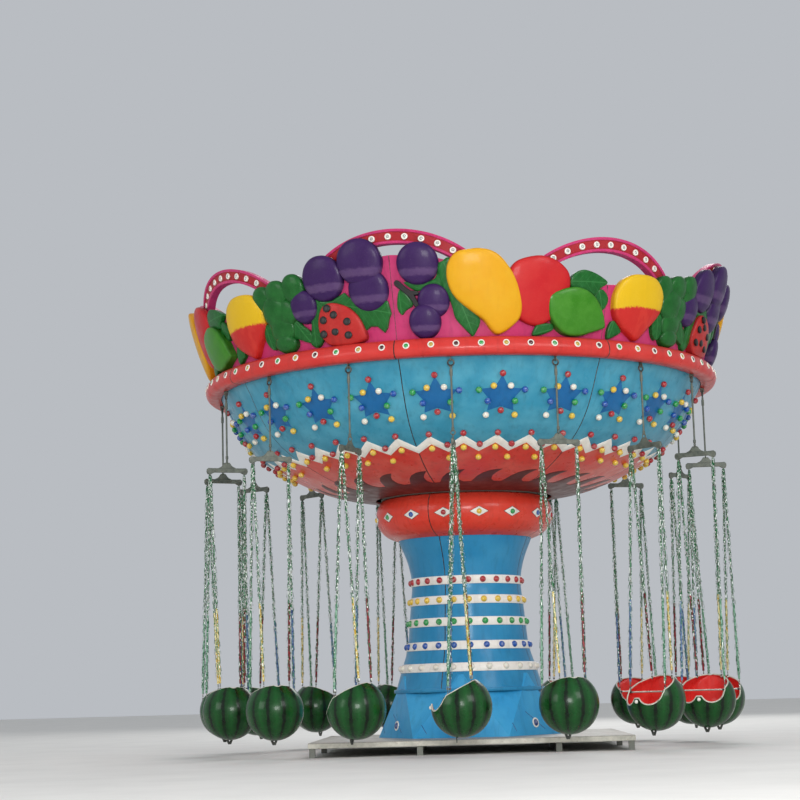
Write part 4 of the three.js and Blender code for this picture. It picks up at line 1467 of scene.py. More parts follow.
@dataclass
class Saucer:
    """Turning bowl with its painted pattern, rim with lamps and hanger lugs, and cover."""

    bowl: list[Pair] = field(default_factory=lambda: [
        (1.050, 2.950), (1.300, 2.985), (1.560, 3.040), (1.880, 3.160), (2.190, 3.325), (2.410, 3.475),
        (2.590, 3.670), (2.720, 3.890), (2.800, 4.060), (2.866, 4.190), (2.876, 4.300),
    ])
    split_radius: float = 2.19
    band_middle: Pair = (2.145, 2.28)
    band_upper: Pair = (2.195, 2.340)
    band_lower: Pair = (2.095, 2.225)
    zigzags: int = 40
    ball_radius: float = 0.036
    flames: int = 26
    rim: list[Pair] = field(default_factory=lambda: [
        (2.8765, 4.195), (2.950, 4.182), (3.015, 4.190), (3.048, 4.225), (3.055, 4.280), (3.030, 4.345),
        (2.985, 4.380), (2.8765, 4.380),
    ])
    lamps: int = 72
    lamp_run: float = 4.3
    lug_reach: float = 0.0245
    lug_hole: float = 0.0112
    lug_thick: float = 0.008
    lug_top: float = 0.06

    def zigzag(self, azimuth: float, pair: Pair) -> float:
        """Give the radius of a zigzag line, from those of its troughs and of its peaks."""
        phase = ((azimuth - SEAM_DEG) / (360.0 / self.zigzags)) % 1.0
        return pair[0] + (pair[1] - pair[0]) * (1.0 - abs(2.0 * phase - 1.0))

    def shell(self) -> Skin:
        """Turn the bowl in its lower and upper part.

        Returns:
            The bowl's skin.
        """
        skin = Skin(self.bowl)
        split = skin.run_at_radius(self.split_radius)
        parts = (("lower", 0.0, split, Slot.RED), ("upper", split, float(skin.run[-1]), Slot.BOWL))
        for name, start, end, slot in parts:
            form = Form("bowl_blue_and_red_gelcoat")
            skin.sheet(form, start, end, azimuths(SEGMENTS), 40,
                       edge=lambda azimuth: self.zigzag(azimuth, self.band_middle))
            form.place(f"bowl_{name}_sheet", "rotor", slot, (f"bowl_{name}",))
        return skin

    def band(self, skin: Skin) -> None:
        """Lay the raised zigzag band round the bowl and set its balls."""
        form = Form("zigzag_cream_gelcoat")
        count = self.zigzags * 8
        section = ((0.0, -0.002), (0.0, 0.003), (0.04, 0.005), (0.5, 0.005), (0.96, 0.005), (1.0, 0.003),
                   (1.0, -0.002))
        rows = []
        for share, out in section:
            for azimuth in azimuths(count):
                low, high = (self.zigzag(azimuth, pair) for pair in (self.band_lower, self.band_upper))
                rows.append(skin.at(azimuth, skin.run_at_radius(low + share * (high - low)), out))
        form.add(rows, quads(len(section), count, True))
        form.place("bowl_zigzag_band", "rotor", Slot.BOWL)
        balls = Form("ball_red", "ball_yellow")
        pitch = 360.0 / self.zigzags
        for i in range(self.zigzags):
            peak, trough = SEAM_DEG + pitch * (i + 0.5), SEAM_DEG + pitch * i
            marks = [(peak, 2.38, "ball_red"), (peak, 2.183, "ball_yellow")]
            if i % (self.zigzags // SEGMENTS):
                marks += [(trough, 2.23, "ball_red"), (trough, 2.027, "ball_yellow")]
            for azimuth, radius, finish in marks:
                self.ball(balls, skin, azimuth, skin.run_at_radius(radius), finish)
        balls.place("bowl_zigzag_balls", "rotor", Slot.BOWL)

    def ball(self, form: Form, skin: Skin, azimuth: float, run: float, finish: str) -> None:
        """Set one ball on the bowl.

        Args:
            form: Where it goes.
            skin: The bowl's skin.
            azimuth: In degrees.
            run: Length along the profile.
            finish: Name of its finish.
        """
        r = self.ball_radius
        profile = [(0.6 * r, -0.003), (0.78 * r, 0.1 * r), (r, 0.62 * r), (0.93 * r, r), (0.66 * r, 1.36 * r),
                   (0.0, 1.56 * r)]
        button(form, skin.at(azimuth, run), skin.facing(azimuth, run), profile, finish)

    def stars(self, skin: Skin) -> None:
        """Set three stars a segment, with a ball at each corner."""
        tips = [(0.0, 4.0), (4.8, 3.862), (3.2, 3.645), (-3.2, 3.645), (-4.8, 3.862)]
        notches = [(1.6, 3.876), (2.75, 3.752), (0.0, 3.688), (-2.75, 3.752), (-1.6, 3.876)]
        balls = [(0.0, 4.022, "ball_red"), (5.27, 3.86, "ball_blue"), (3.5, 3.615, "ball_yellow"),
                 (-3.5, 3.615, "ball_white"), (-5.27, 3.86, "ball_green"), (1.94, 3.898, "ball_white"),
                 (3.2, 3.747, "ball_green"), (0.0, 3.658, "ball_red"), (-3.2, 3.747, "ball_blue"),
                 (-1.94, 3.898, "ball_yellow")]
        width = radians(1.0) * 2.68
        corners = [corner for pair in zip(tips, notches) for corner in pair]
        outline = [(azimuth * width, skin.run_at_height(height)) for azimuth, height in corners]
        shape = relief(outline, 0.05, False, False)
        form, studs = Form("star_blue_gelcoat"), Form("ball_red")
        stars = 3 * SEGMENTS
        for middle in azimuths(stars, SEAM_DEG + 180.0 / stars):
            mapper = skin.mapper(middle, width, lambda y: y)
            raise_on(form, shape, mapper, 0.0015, 0.0025, "star_blue_gelcoat")
            for azimuth, height, finish in balls:
                self.ball(studs, skin, middle + azimuth, skin.run_at_height(height), finish)
        form.place("bowl_stars", "rotor", Slot.BOWL)
        studs.place("bowl_star_balls", "rotor", Slot.BOWL)

    def flame_ring(self, skin: Skin) -> None:
        """Lay the dark ring at the bowl's foot with its curled flames."""
        hook = [(-11.1, 1.444), (-8.9, 1.602), (-6.85, 1.686), (-4.4, 1.736), (-2.2, 1.757), (0.0, 1.764),
                (-1.8, 1.681), (-2.7, 1.609), (-2.65, 1.552), (-2.35, 1.504), (-0.5, 1.437), (2.15, 1.402)]
        foot = [(2.15, 1.32), (-11.1, 1.32)]
        width = radians(1.0) * 1.5
        shape = relief([(azimuth * width, radius) for azimuth, radius in [*hook, *foot]], 0.03, False, False)
        form = Form("flame_maroon_gelcoat")
        for tip in azimuths(self.flames, SEAM_DEG - 0.06):
            mapper = skin.mapper(tip, width, skin.run_at_radius)
            raise_on(form, shape, mapper, 0.001, 0.002, "flame_maroon_gelcoat")
        section = [
            (1.052, -0.002), (1.052, 0.0035), (1.2, 0.0035), (1.34, 0.0035), (1.44, 0.003), (1.445, -0.002),
        ]
        turns = azimuths(144)
        ring = [skin.at(turn, skin.run_at_radius(r), out) for r, out in section for turn in turns]
        form.add(ring, quads(len(section), len(turns), True))
        form.place("bowl_flames", "rotor", Slot.RED)

    def rim_ring(self) -> None:
        """Turn the rim with its seams, and set its lamps and hanger lugs."""
        skin = Skin(self.rim, 4)
        form = Form("rim_red_gelcoat", "hanger_steel_paint")
        skin.sheet(form, 0.0, float(skin.run[-1]), azimuths(SEGMENTS), 24,
                   groove=(0.012, 0.01), wall=0.0)
        turned(form, [(2.8765, 4.38), (2.8765, 4.195)])
        for azimuth in azimuths(CHAIRS, CHAIR_DEG):
            self.lug(form, azimuth)
        form.place("rim_sheet", "rotor", Slot.RED, ("rim_ring",))
        lamps = Form("lamp_white_ring")
        lenses = ("lens_green", "lens_amber", "lens_dark_red")
        run = float(np.interp(self.lamp_run, skin.height[:-4], skin.run[:-4]))
        ring = [(0.037, -0.004), (0.037, 0.005), (0.034, 0.009), (0.027, 0.009), (0.024, 0.004)]
        for i, azimuth in enumerate(azimuths(self.lamps, SEAM_DEG + 180.0 / self.lamps)):
            seat, out = skin.at(azimuth, run), skin.facing(azimuth, run)
            button(lamps, seat, out, ring, "lamp_white_ring", 16)
            button(lamps, seat, out, dome_profile(0.0245, 0.01, 0.003, 3), lenses[i % 3], 14)
        lamps.place("rim_lamps", "rotor", Slot.RED)

    def lug(self, form: Form, azimuth: float) -> None:
        """Add one hanger lug with its hole to the rim's underside.

        Args:
            form: Where it goes.
            azimuth: In degrees.
        """
        reach, hole, thick, top = self.lug_reach, self.lug_hole, self.lug_thick, self.lug_top
        matrix = rotation(azimuth) @ Matrix.Translation((0, -HANG_RADIUS, PIVOT_HEIGHT))
        # A half circle below, straight sides above it, and a hole whose top has fewer corners
        angles = [radians(180.0 + 30.0 * i) for i in range(7)]
        outer = [(reach, top), (-reach, top)] + [(reach * cos(a), reach * sin(a)) for a in angles]
        turns = [radians(58.0), radians(122.0)] + angles
        inner = [(hole * cos(a), hole * sin(a)) for a in turns]
        count = len(outer)
        rings = [(outer, -0.5), (outer, 0.5), (inner, 0.5), (inner, -0.5)]
        points = [matrix @ Vector((level * thick, x, y)) for ring, level in rings for x, y in ring]
        form.add([tuple(point) for point in points], quads(4, count, True, True), "hanger_steel_paint")

    def cover(self) -> None:
        """Turn the cover over the bowl, with a lap rib on each seam."""
        rows = [(2.862, 4.3003), (2.862, 4.3303), (2.2, 4.4155), (1.4, 4.518), (0.6, 4.6203), (0.25, 4.634),
                (0.0, 4.6403)]
        form = Form("cover_blue_gelcoat")
        turned(form, rows[:-1])
        ring = [polar(azimuth, *rows[-2]) for azimuth in azimuths(96)]
        form.add([*ring, (0.0, 0.0, rows[-1][1])], [(i, (i + 1) % 96, 96) for i in range(96)])
        for azimuth in azimuths(2 * SEGMENTS, CHAIR_DEG):
            path = [polar(azimuth, r, z + 0.004) for r, z in rows[1:5]]
            tube(form, path, 0.009, sides=6)
        form.place("cover_sheet", "rotor", Slot.BOWL, ("top_cover",))

    def build(self) -> None:
        """Build the saucer."""
        skin = self.shell()
        self.band(skin)
        self.stars(skin)
        self.flame_ring(skin)
        self.rim_ring()
        self.cover()


class Kind(Enum):
    """What a raised form on the crown is painted as."""

    PLUM = "plum_gelcoat"
    MANGO = "mango_gelcoat"
    APPLE = "apple_gelcoat"
    GREEN_MANGO = "green_mango_gelcoat"
    BUNCH = "bunch_green_gelcoat"
    PEACH = "peach_gelcoat"
    SLICE = "melon_slice_gelcoat"
    LEAF = "leaf_gelcoat"
    STEM = "seed_black"


@dataclass
class Fruit:
    """One raised form on the crown: its outline in millimetres along the rim and in height."""

    kind: Kind
    outline: list[Pair]
    base: float
    depth: float
    curved: bool = True
    seeds: tuple[Pair, ...] = ()


def circle(x: float, z: float, radius: float, squeeze: float = 1.0) -> list[Pair]:
    """Give the outline of a round fruit, in millimetres."""
    return [(x + radius * squeeze * c, z + radius * s) for c, s in unit_circle(14)]


# Forms of the first kind of panel, from a high seam to a low one
ORCHARD: tuple[Fruit, ...] = (
    Fruit(Kind.LEAF, [(81, 4889), (146, 4874), (224, 4744), (140, 4687), (91, 4643), (48, 4724)], 30, 12),
    Fruit(Kind.LEAF, [
        (144, 4973), (349, 4955), (480, 5000), (529, 5132), (645, 5189), (632, 4859), (560, 4882),
        (400, 4911), (278, 4876),
    ], 30, 12),
    Fruit(Kind.LEAF, [
        (511, 5118), (570, 5165), (638, 5186), (720, 5052), (760, 4880), (860, 4729), (920, 4614),
        (948, 4526), (873, 4391), (833, 4417), (755, 4493), (679, 4582), (645, 4706), (610, 4806),
        (551, 4907),
    ], 45, 14),
    Fruit(Kind.LEAF, [
        (1540, 4401), (1564, 4476), (1605, 4508), (1745, 4518), (1778, 4463), (1709, 4424), (1611, 4397),
    ], 50, 14),
    Fruit(Kind.LEAF, [
        (2257, 4841), (2296, 4894), (2357, 4898), (2428, 4828), (2427, 4752), (2365, 4685), (2307, 4757),
        (2220, 4780),
    ], 40, 14),
    Fruit(Kind.LEAF, [
        (1940, 4960), (1977, 5043), (2079, 5086), (2198, 5069), (2324, 5021), (2394, 4970), (2309, 4907),
        (2257, 4841), (2144, 4860), (1982, 4880),
    ], 52, 16),
    Fruit(Kind.APPLE, [
        (1547, 5214), (1700, 5197), (1837, 5129), (1930, 5020), (1935, 4830), (1840, 4640), (1674, 4516),
        (1521, 4500), (1330, 4600), (1230, 4790), (1235, 5000), (1330, 5150),
    ], 30, 78),
    Fruit(Kind.PLUM, circle(303, 5154, 221), 30, 92),
    Fruit(Kind.PLUM, circle(449, 4767, 176), 20, 78),
    Fruit(Kind.PLUM, circle(346, 4557, 178), 40, 88),
    Fruit(Kind.MANGO, [
        (813, 5268), (936, 5278), (1059, 5255), (1159, 5194), (1249, 5089), (1316, 4979), (1380, 4820),
        (1401, 4672), (1375, 4561), (1303, 4486), (1223, 4430), (1142, 4402), (1088, 4425), (1034, 4487),
        (981, 4550), (890, 4613), (787, 4689), (699, 4766), (638, 4854), (604, 4966), (602, 5065),
        (624, 5149), (677, 5221), (739, 5256),
    ], 72, 60),
    Fruit(Kind.GREEN_MANGO, [
        (1688, 4727), (1697, 4802), (1817, 4862), (1969, 4899), (2086, 4887), (2196, 4837), (2284, 4755),
        (2354, 4647), (2401, 4523), (2385, 4490), (2245, 4444), (2096, 4400), (1945, 4400), (1822, 4458),
        (1742, 4555), (1702, 4628),
    ], 80, 56),
    Fruit(Kind.STEM, [
        (52, 4992), (90, 4990), (160, 4922), (226, 4866), (262, 4800), (290, 4722), (246, 4712),
        (214, 4776), (180, 4824), (122, 4876), (42, 4950),
    ], 46, 12),
    Fruit(Kind.STEM, [(200, 4880), (290, 4868), (290, 4834), (204, 4836)], 46, 10),
)

# Forms of the second kind of panel, from a low seam to a high one
VINEYARD: tuple[Fruit, ...] = (
    Fruit(Kind.LEAF, [(43, 4469), (67, 4558), (113, 4590), (231, 4488), (166, 4439), (61, 4398)], 40, 12),
    Fruit(Kind.LEAF, [
        (1169, 4757), (1303, 4652), (1395, 4565), (1383, 4458), (1220, 4510), (1115, 4568),
    ], 40, 14),
    Fruit(Kind.LEAF, [
        (1480, 4900), (1605, 4830), (1600, 4623), (1540, 4464), (1446, 4397), (1369, 4460), (1422, 4616),
    ], 36, 14),
    Fruit(Kind.LEAF, [
        (754, 4720), (845, 4700), (890, 4524), (810, 4447), (728, 4514), (706, 4603),
    ], 46, 14),
    Fruit(Kind.LEAF, [
        (1548, 4869), (1739, 4857), (1899, 4924), (1940, 4877), (2019, 4840), (2177, 4790), (2383, 4795),
        (2409, 4667), (2380, 4617), (2352, 4524), (2311, 4475), (2237, 4544), (2154, 4551), (2068, 4500),
        (1990, 4560), (1800, 4650), (1600, 4700),
    ], 34, 14, False),
    Fruit(Kind.PEACH, [
        (66, 4790), (75, 4887), (142, 5008), (257, 5077), (372, 5100), (511, 5099), (635, 5070),
        (733, 4993), (782, 4920), (790, 4822), (770, 4720), (705, 4634), (592, 4524), (470, 4405),
        (375, 4436), (233, 4512), (138, 4592), (85, 4675),
    ], 48, 82),
    Fruit(Kind.BUNCH, circle(1276, 5040, 160, 0.95), 34, 70),
    Fruit(Kind.BUNCH, circle(1036, 5020, 145, 1.1), 40, 66),
    Fruit(Kind.BUNCH, circle(800, 4990, 148, 1.05), 30, 66),
    Fruit(Kind.BUNCH, circle(965, 4835, 185, 1.0), 44, 66),
    Fruit(Kind.BUNCH, circle(1120, 4800, 150, 1.0), 38, 62),
    Fruit(Kind.BUNCH, circle(1020, 4640, 165, 1.1), 36, 62),
    Fruit(Kind.BUNCH, circle(1030, 4485, 100, 1.6), 44, 62),
    Fruit(Kind.PLUM, circle(1374, 4835, 178), 30, 80),
    Fruit(Kind.PLUM, circle(2180, 4925, 225, 1.0), 24, 80),
    Fruit(Kind.PLUM, circle(1670, 5096, 242), 34, 82),
    Fruit(Kind.PLUM, circle(2120, 5212, 248), 42, 86),
    Fruit(Kind.SLICE, [
        (1540, 4623), (1590, 4757), (1668, 4822), (1783, 4825), (1922, 4773), (2008, 4701), (2067, 4611),
        (2108, 4481), (2106, 4428), (2033, 4392), (1904, 4375), (1749, 4378), (1647, 4397), (1578, 4458),
        (1542, 4537),
    ], 66, 46, seeds=(
        (1697, 4771), (1768, 4697), (1634, 4655), (1916, 4613), (1610, 4510), (1758, 4524), (1911, 4474),
    )),
)


@dataclass
class Crown:
    """Leaning panels with fruit in relief, lit arches over their seams."""

    base_height: float = 4.3803
    base_radius: float = 2.906
    lean: float = 0.2875
    thick: float = 0.025
    arc_radius: float = 3.1
    tops: tuple[float, ...] = (5.27, 5.24, 5.12, 5.08, 5.04, 5.0, 4.97)
    arch_width: float = 0.15
    arch_depth: float = 0.09
    arch_half_deg: float = 16.5
    arch_rise: float = 0.33
    arch_apexes: Pair = (5.54, 5.463)
    arch_set_back: float = 0.0039
    arch_lamps: int = 11
    seed: tuple[float, float, float, int] = (0.043, 0.009, 0.012, 3)

    def radius(self, height: float) -> float:
        """Give the radius of the panels' outer face at a height."""
        return self.base_radius + self.lean * (height - self.base_height)

    def on_panel(self, start_deg: float) -> Mapper:
        """Give the mapper of one segment, from arc length, height and distance outwards."""
        return lambda x, z, out: polar(start_deg + degrees(x / self.arc_radius), self.radius(z) + out, z)

    def paint_values(
        self, fruit: Fruit, plan: np.ndarray, swell: np.ndarray,
    ) -> tuple[np.ndarray, np.ndarray]:
        """Give the two paint values of a form's points.

        Args:
            fruit: The form.
            plan: Its points, in metres.
            swell: How far each point swells.

        Returns:
            The values across and along.
        """
        outline = np.array(fruit.outline) / 1000.0
        middle, half = outline.mean(axis=0), np.ptp(outline, axis=0) / 2.0
        if fruit.kind is Kind.LEAF:
            gaps = np.linalg.norm(outline[:, None] - outline[None], axis=2)
            first, last = np.unravel_index(gaps.argmax(), gaps.shape)
            along = (outline[last] - outline[first]) / gaps.max()
            away = plan - outline[first]
            return away @ np.array((-along[1], along[0])), away @ along
        if fruit.kind is Kind.PEACH:
            line = np.interp(plan[:, 0], [0.092, 0.323, 0.738], [4.71, 4.744, 4.746])
            return swell, plan[:, 1] - line
        return swell, (plan[:, 1] - middle[1]) / half[1]

    def panel_sheet(self, form: Form, mapper: Mapper, high_first: bool) -> None:
        """Add one panel's sheet with its rounded top edge.

        Args:
            form: Where it goes.
            mapper: The segment's mapper.
            high_first: Whether its first seam is a high one.
        """
        length = self.arc_radius * radians(SEGMENT_DEG)
        tops = self.tops if high_first else tuple(reversed(self.tops))
        columns, rows, gap = 24, 9, 0.002
        section = [(row / rows, 0.0) for row in range(rows + 1)]
        section[-1] = (1.0, -0.006)
        section += [(1.004, -0.012), (1.0, -self.thick + 0.006)]
        section += [(1.0 - row / rows, -self.thick) for row in range(rows + 1)][1:]
        points = []
        for share, out in section:
            for column in range(columns + 1):
                x = gap + (length - 2 * gap) * column / columns
                top = float(np.interp(column / columns * 6.0, range(7), tops)) - 0.004
                points.append(mapper(x, self.base_height + share * (top - self.base_height), out))
        form.add(points, quads(len(section), columns + 1), "pink_gelcoat")
        # A dark line down the panel's first seam: grime in the joint and painted shade in its gap
        dark_seam_line = [mapper(0.0, z, -0.003) for z in np.linspace(self.base_height, tops[0] - 0.012, 9)]
        tube(form, dark_seam_line, 0.0045, "joint_grime_and_painted_shade", 6)
        # The two upright edges, closed by strips between the faces
        count = len(section)
        for column in (0, columns):
            ring = [i * (columns + 1) + column for i in range(count)]
            side = [points[i] for i in ring]
            pairs = [(i, i + 1, count - 2 - i, count - 1 - i) for i in range(count // 2 - 1)]
            form.add(side, pairs if column else flipped(pairs), "pink_gelcoat")

    def panels(self) -> None:
        """Build the eight panels from two sets of forms."""
        for kind in (0, 1):
            shapes = []
            for fruit in VINEYARD if kind else ORCHARD:
                outline = [(x / 1000.0, z / 1000.0) for x, z in fruit.outline]
                flat = fruit.kind is Kind.STEM
                shape = relief(outline, 0.012 if flat else 0.024, fruit.curved, not flat)
                shapes.append((fruit, shape, self.paint_values(fruit, shape.plan, shape.swell)))
            for i in range(kind, SEGMENTS, 2):
                form = Form("pink_gelcoat")
                mapper = self.on_panel(SEAM_DEG + SEGMENT_DEG * i)
                self.panel_sheet(form, mapper, not kind)
                for order, (fruit, shape, (across, along)) in enumerate(shapes):
                    # Each form's flat back ends inside the curved sheet, at a depth of its own
                    root = -0.2 * self.thick - 0.0004 * order
                    raise_on(form, shape, mapper, fruit.base / 1000.0, fruit.depth / 1000.0, fruit.kind.value,
                             root, across, along, True)
                    for seed in fruit.seeds:
                        x, z = np.array(seed) / 1000.0
                        centre = mapper(x, z, (fruit.base + 0.8 * fruit.depth) / 1000.0)
                        out = way(mapper(x, z, 0.0), mapper(x, z, 1.0))
                        button(form, centre, out, dome_profile(*self.seed), "seed_black", 16)
                form.place(f"crown_panel_relief_{i + 1}", "rotor", Slot.PINK, (f"crown_panel_{i + 1}",), 50.0)

    def arch_bow(self) -> Pair:
        """Give an arch's radius and half its angle, in radians."""
        span = self.arc_radius * radians(self.arch_half_deg)
        radius = (span ** 2 + self.arch_rise ** 2) / (2.0 * self.arch_rise)
        return radius, asin(span / radius)

    def arch_point(self, apex: float, start_deg: float, angle: float, across: float, out: float) -> Point:
        """Give a place on an arch.

        Args:
            apex: Height of its outer edge at the middle.
            start_deg: Azimuth of its middle.
            angle: Angle along it, in radians.
            across: Distance from its middle line, outwards from its centre.
            out: Distance outwards from its face.

        Returns:
            The place.
        """
        radius, _ = self.arch_bow()
        reach = radius + across
        x = reach * sin(angle)
        z = apex - self.arch_width / 2 - radius + reach * cos(angle)
        return self.on_panel(start_deg)(x, z, out - self.thick - self.arch_set_back)

    def arches(self) -> None:
        """Bend the arches with their channel and lamps."""
        _, half = self.arch_bow()
        w, d, flange, sunk = self.arch_width / 2, self.arch_depth, 0.028, 0.014
        pink = mirrored([
            (-w + flange, -sunk), (-w + flange, -0.002), (-w + flange - 0.003, 0.0), (-w + 0.004, 0.0),
            (-w, -0.004), (-w, -d + 0.003), (-w + 0.003, -d),
        ])
        steps = 40
        angles = [half * (2.0 * step / steps - 1.0) for step in range(steps + 1)]
        ring = [(0.036, -0.003), (0.036, 0.006), (0.032, 0.012), (0.022, 0.014), (0.017, 0.009)]
        for i, start in enumerate(azimuths(SEGMENTS)):
            apex = self.arch_apexes[i % 2]
            form = Form("pink_gelcoat", "channel_red_gelcoat")
            outer = [self.arch_point(apex, start, a, u, v) for u, v in pink for a in angles]
            form.add(outer, quads(len(pink), steps + 1), "pink_gelcoat")
            floor = [(-w + flange, -sunk), (0.0, -sunk), (w - flange, -sunk)]
            bed = [self.arch_point(apex, start, a, u, v) for u, v in reversed(floor) for a in angles]
            form.add(bed, quads(3, steps + 1), "channel_red_gelcoat")
            for angle in (angles[0], angles[-1]):
                end = [self.arch_point(apex, start, angle, u, v) for u, v in pink]
                faces = [tuple(range(len(pink)))]
                form.add(end, faces if angle > 0 else flipped(faces), "pink_gelcoat")
            pitch = 2.0 * half / self.arch_lamps
            for lamp in range(self.arch_lamps):
                angle = -half + pitch * (lamp + 0.5)
                seat = self.arch_point(apex, start, angle, 0.0, -sunk)
                out = way(seat, self.arch_point(apex, start, angle, 0.0, 1.0))
                button(form, seat, out, ring, "lamp_white_ring", 14)
                button(form, seat, out, dome_profile(0.0165, 0.01, 0.008, 3), "lamp_clear_grey", 10)
            form.place(f"crown_arch_channel_{i + 1}", "rotor", Slot.PINK, (f"crown_arch_{i + 1}",), 35.0)

    def build(self) -> None:
        """Build the crown."""
        self.panels()
        self.arches()


@dataclass
class Hanger:
    """Rod with its eye, spreader bar with gusset, and four chains; made once and hung sixteen times."""

    eye_radius: float = 0.0325
    eye_wire: float = 0.0092
    rod_radius: float = 0.0105
    bar_top: float = 3.29
    bar_height: float = 0.05
    bar_half: float = 0.228
    gusset_height: float = 0.066
    chain_tops: tuple[float, float, float] = (0.202, 0.006, 3.252)
    front_foot: Point = (0.246, 0.128, 0.6875)
    back_foot: Point = (0.140, -0.110, 0.7945)
    link_pitch: float = 0.029
    link_wire: float = 0.0032
    sleeve_share: float = 0.36
    strips: int = 210

    def eye(self) -> Mesh:
        """Make the ring that hangs in the rim's lug, about the hanger's own axis.

        Returns:
            Its mesh.
        """
        form = Form("black_steel_paint")
        middle = PIVOT_HEIGHT - self.eye_radius
        path = [(self.eye_radius * c, 0.0, middle + self.eye_radius * s) for c, s in unit_circle(24)]
        tube(form, path, self.eye_wire, closed=True)
        return form.mesh("hanger_eye")

    def rod(self) -> Mesh:
        """Make the rod with its fork, nuts and spreader bar.

        Returns:
            Its mesh.
        """
        form = Form("hanger_steel_paint")
        low_eye = PIVOT_HEIGHT - 2.0 * self.eye_radius
        top = low_eye - 0.012
        foot = self.bar_top + self.gusset_height
        plain, nut, cap, tang = self.rod_radius, 0.016, 0.0165, 0.012
        stations = [
            (foot + 0.03, plain), (foot + 0.04, plain), (foot + 0.041, nut), (foot + 0.075, nut),
            (foot + 0.076, plain), (top - 0.1, plain), (top - 0.099, cap), (top - 0.03, cap),
            (top - 0.029, tang), (top, tang),
        ]
        path = [(0.0, 0.0, height) for height, _ in stations]
        tube(form, path, [radius for _, radius in stations], sides=10)
        ring = [(0.0, 0.016 * c, low_eye - 0.007 + 0.013 * s) for c, s in unit_circle(12)]
        tube(form, ring, 0.005, sides=6, closed=True)
        bolt_ring = [(0.0, 0.024 * c, foot + 0.018 + 0.024 * s) for c, s in unit_circle(16)]
        tube(form, bolt_ring, 0.0065, sides=6, closed=True)
        plate(form, self.gusset_outline(), 0.012, upright(0, 0, self.bar_top))
        plate(form, self.bar_outline(), 0.03, upright(0, 0, self.bar_top), edge=0.004)
        for side in (-1, 1):
            for x in (0.06, 0.15):
                button(form, (side * x, -0.015, self.bar_top - 0.02), (0, -1, 0),
                       [(0.009, 0.0), (0.009, 0.006), (0.005, 0.007), (0.0, 0.007)], "hanger_steel_paint", 6)
        return form.mesh("hanger_rod")

    def gusset_outline(self) -> list[Pair]:
        """Give the bell-shaped gusset, x across and y up from the bar's top."""
        foot = [(0.1, -0.006), (0.1, 0.005), (0.076, 0.014), (0.055, 0.03), (0.042, 0.05)]
        return mirrored([*foot, (0.028, self.gusset_height)])

    def bar_outline(self) -> list[Pair]:
        """Give the spreader bar, with its rounded ends that hook down."""
        h, half = self.bar_height, self.bar_half
        return mirrored([(half - 0.075, -h), (half - 0.052, -h - 0.012), (half - 0.026, -h - 0.026),
                         (half + 0.002, -h - 0.018), (half + 0.014, -h + 0.01), (half + 0.01, -0.012),
                         (half - 0.01, 0.003), (half - 0.045, 0.0)])

    def chain_lines(self) -> list[tuple[np.ndarray, np.ndarray, float, str]]:
        """Give each chain's top, its direction, its length and its sleeve's colour."""
        x, y, z = self.chain_tops
        lines = []
        for side, colours in ((-1, ("sleeve_green", "sleeve_yellow")), (1, ("sleeve_blue", "sleeve_red"))):
            for foot, set_back, colour in zip((self.front_foot, self.back_foot), (y, -y), colours):
                top = np.array((side * x, set_back, z))
                down = way(top, (side * foot[0], *foot[1:]))
                length = np.linalg.norm(down)
                lines.append((top, down / length, length, colour))
        return lines

    def chains(self) -> Mesh:
        """Make the link chains, their sleeves and shackles.

        Returns:
            Their mesh.
        """
        form = Form("zinc_chain")
        for top, down, length, colour in self.chain_lines():
            foot = top + down * length
            across = frame_of(down)
            bare = length * (1.0 - self.sleeve_share)
            for link in range(int(bare / self.link_pitch)):
                self.link(form, top + down * (link + 0.5) * self.link_pitch, down, across[1 - link % 2])
            steps = 24
            sleeve = [top + down * (bare + (length - 0.045 - bare) * i / steps) for i in range(steps + 1)]
            swell = [0.0118 + 0.0025 * ((i * TURN_RATIO) % 1.0) for i in range(steps + 1)]
            tube(form, sleeve, swell, colour, 8)
            self.link(form, foot - down * 0.03, down, across[0], 1.5)
            tube(form, [foot - down * s for s in (0.004, 0.026)], 0.006, "black_steel_paint", 6)
        return form.mesh("hanger_chains")

    def link(
        self, form: Form, centre: np.ndarray, down: np.ndarray, side: np.ndarray, scale: float = 1.0,
    ) -> None:
        """Add one chain link.

        Args:
            form: Where it goes.
            centre: Its middle.
            down: Direction along the chain.
            side: Direction across the link.
            scale: Its size against a plain link.
        """
        reach, bow = 0.5 * self.link_pitch * scale, 0.0062 * scale
        path = [
            centre + down * reach * 1.12 * s + side * bow * copysign(min(1.0, 1.5 * abs(c)), c)
            for c, s in unit_circle(8, 0.5)
        ]
        tube(form, path, self.link_wire * scale, sides=3, closed=True)

    def tinsel(self) -> Mesh:
        """Make the slit foil wound round the chains' bare length.

        Returns:
            Its mesh.
        """
        form = Form("silver_and_green_tinsel")
        points, faces = [], []
        for k, (top, down, length, _) in enumerate(self.chain_lines()):
            first, second, _ = frame_of(down)
            for i in range(self.strips):
                angle = 2.0 * pi * ((i + 31 * k) * TURN_RATIO % 1.0)
                reach, hang = (i * ratio % 1.0 for ratio in STRIP_RATIOS)
                # Denser over the upper part, as the foil slips and gathers
                run = (i + 0.5) / self.strips
                middle = top + down * (0.03 + (length - 0.16) * run ** 1.25)
                out = first * cos(angle) + second * sin(angle)
                side = np.cross(out, down) * 0.0042
                knee = middle + out * (0.008 + 0.016 * reach) + down * 0.012
                tip = knee + out * 0.006 * reach + down * (0.03 + 0.05 * hang)
                strip = [(0, 1, 2, 3), (3, 2, 4, 5)]
                faces += [tuple(len(points) + corner for corner in face) for face in strip]
                points += [middle + side, middle - side, knee - side, knee + side, tip - side, tip + side]
        form.add(points, faces)
        return form.mesh("chain_tinsel")


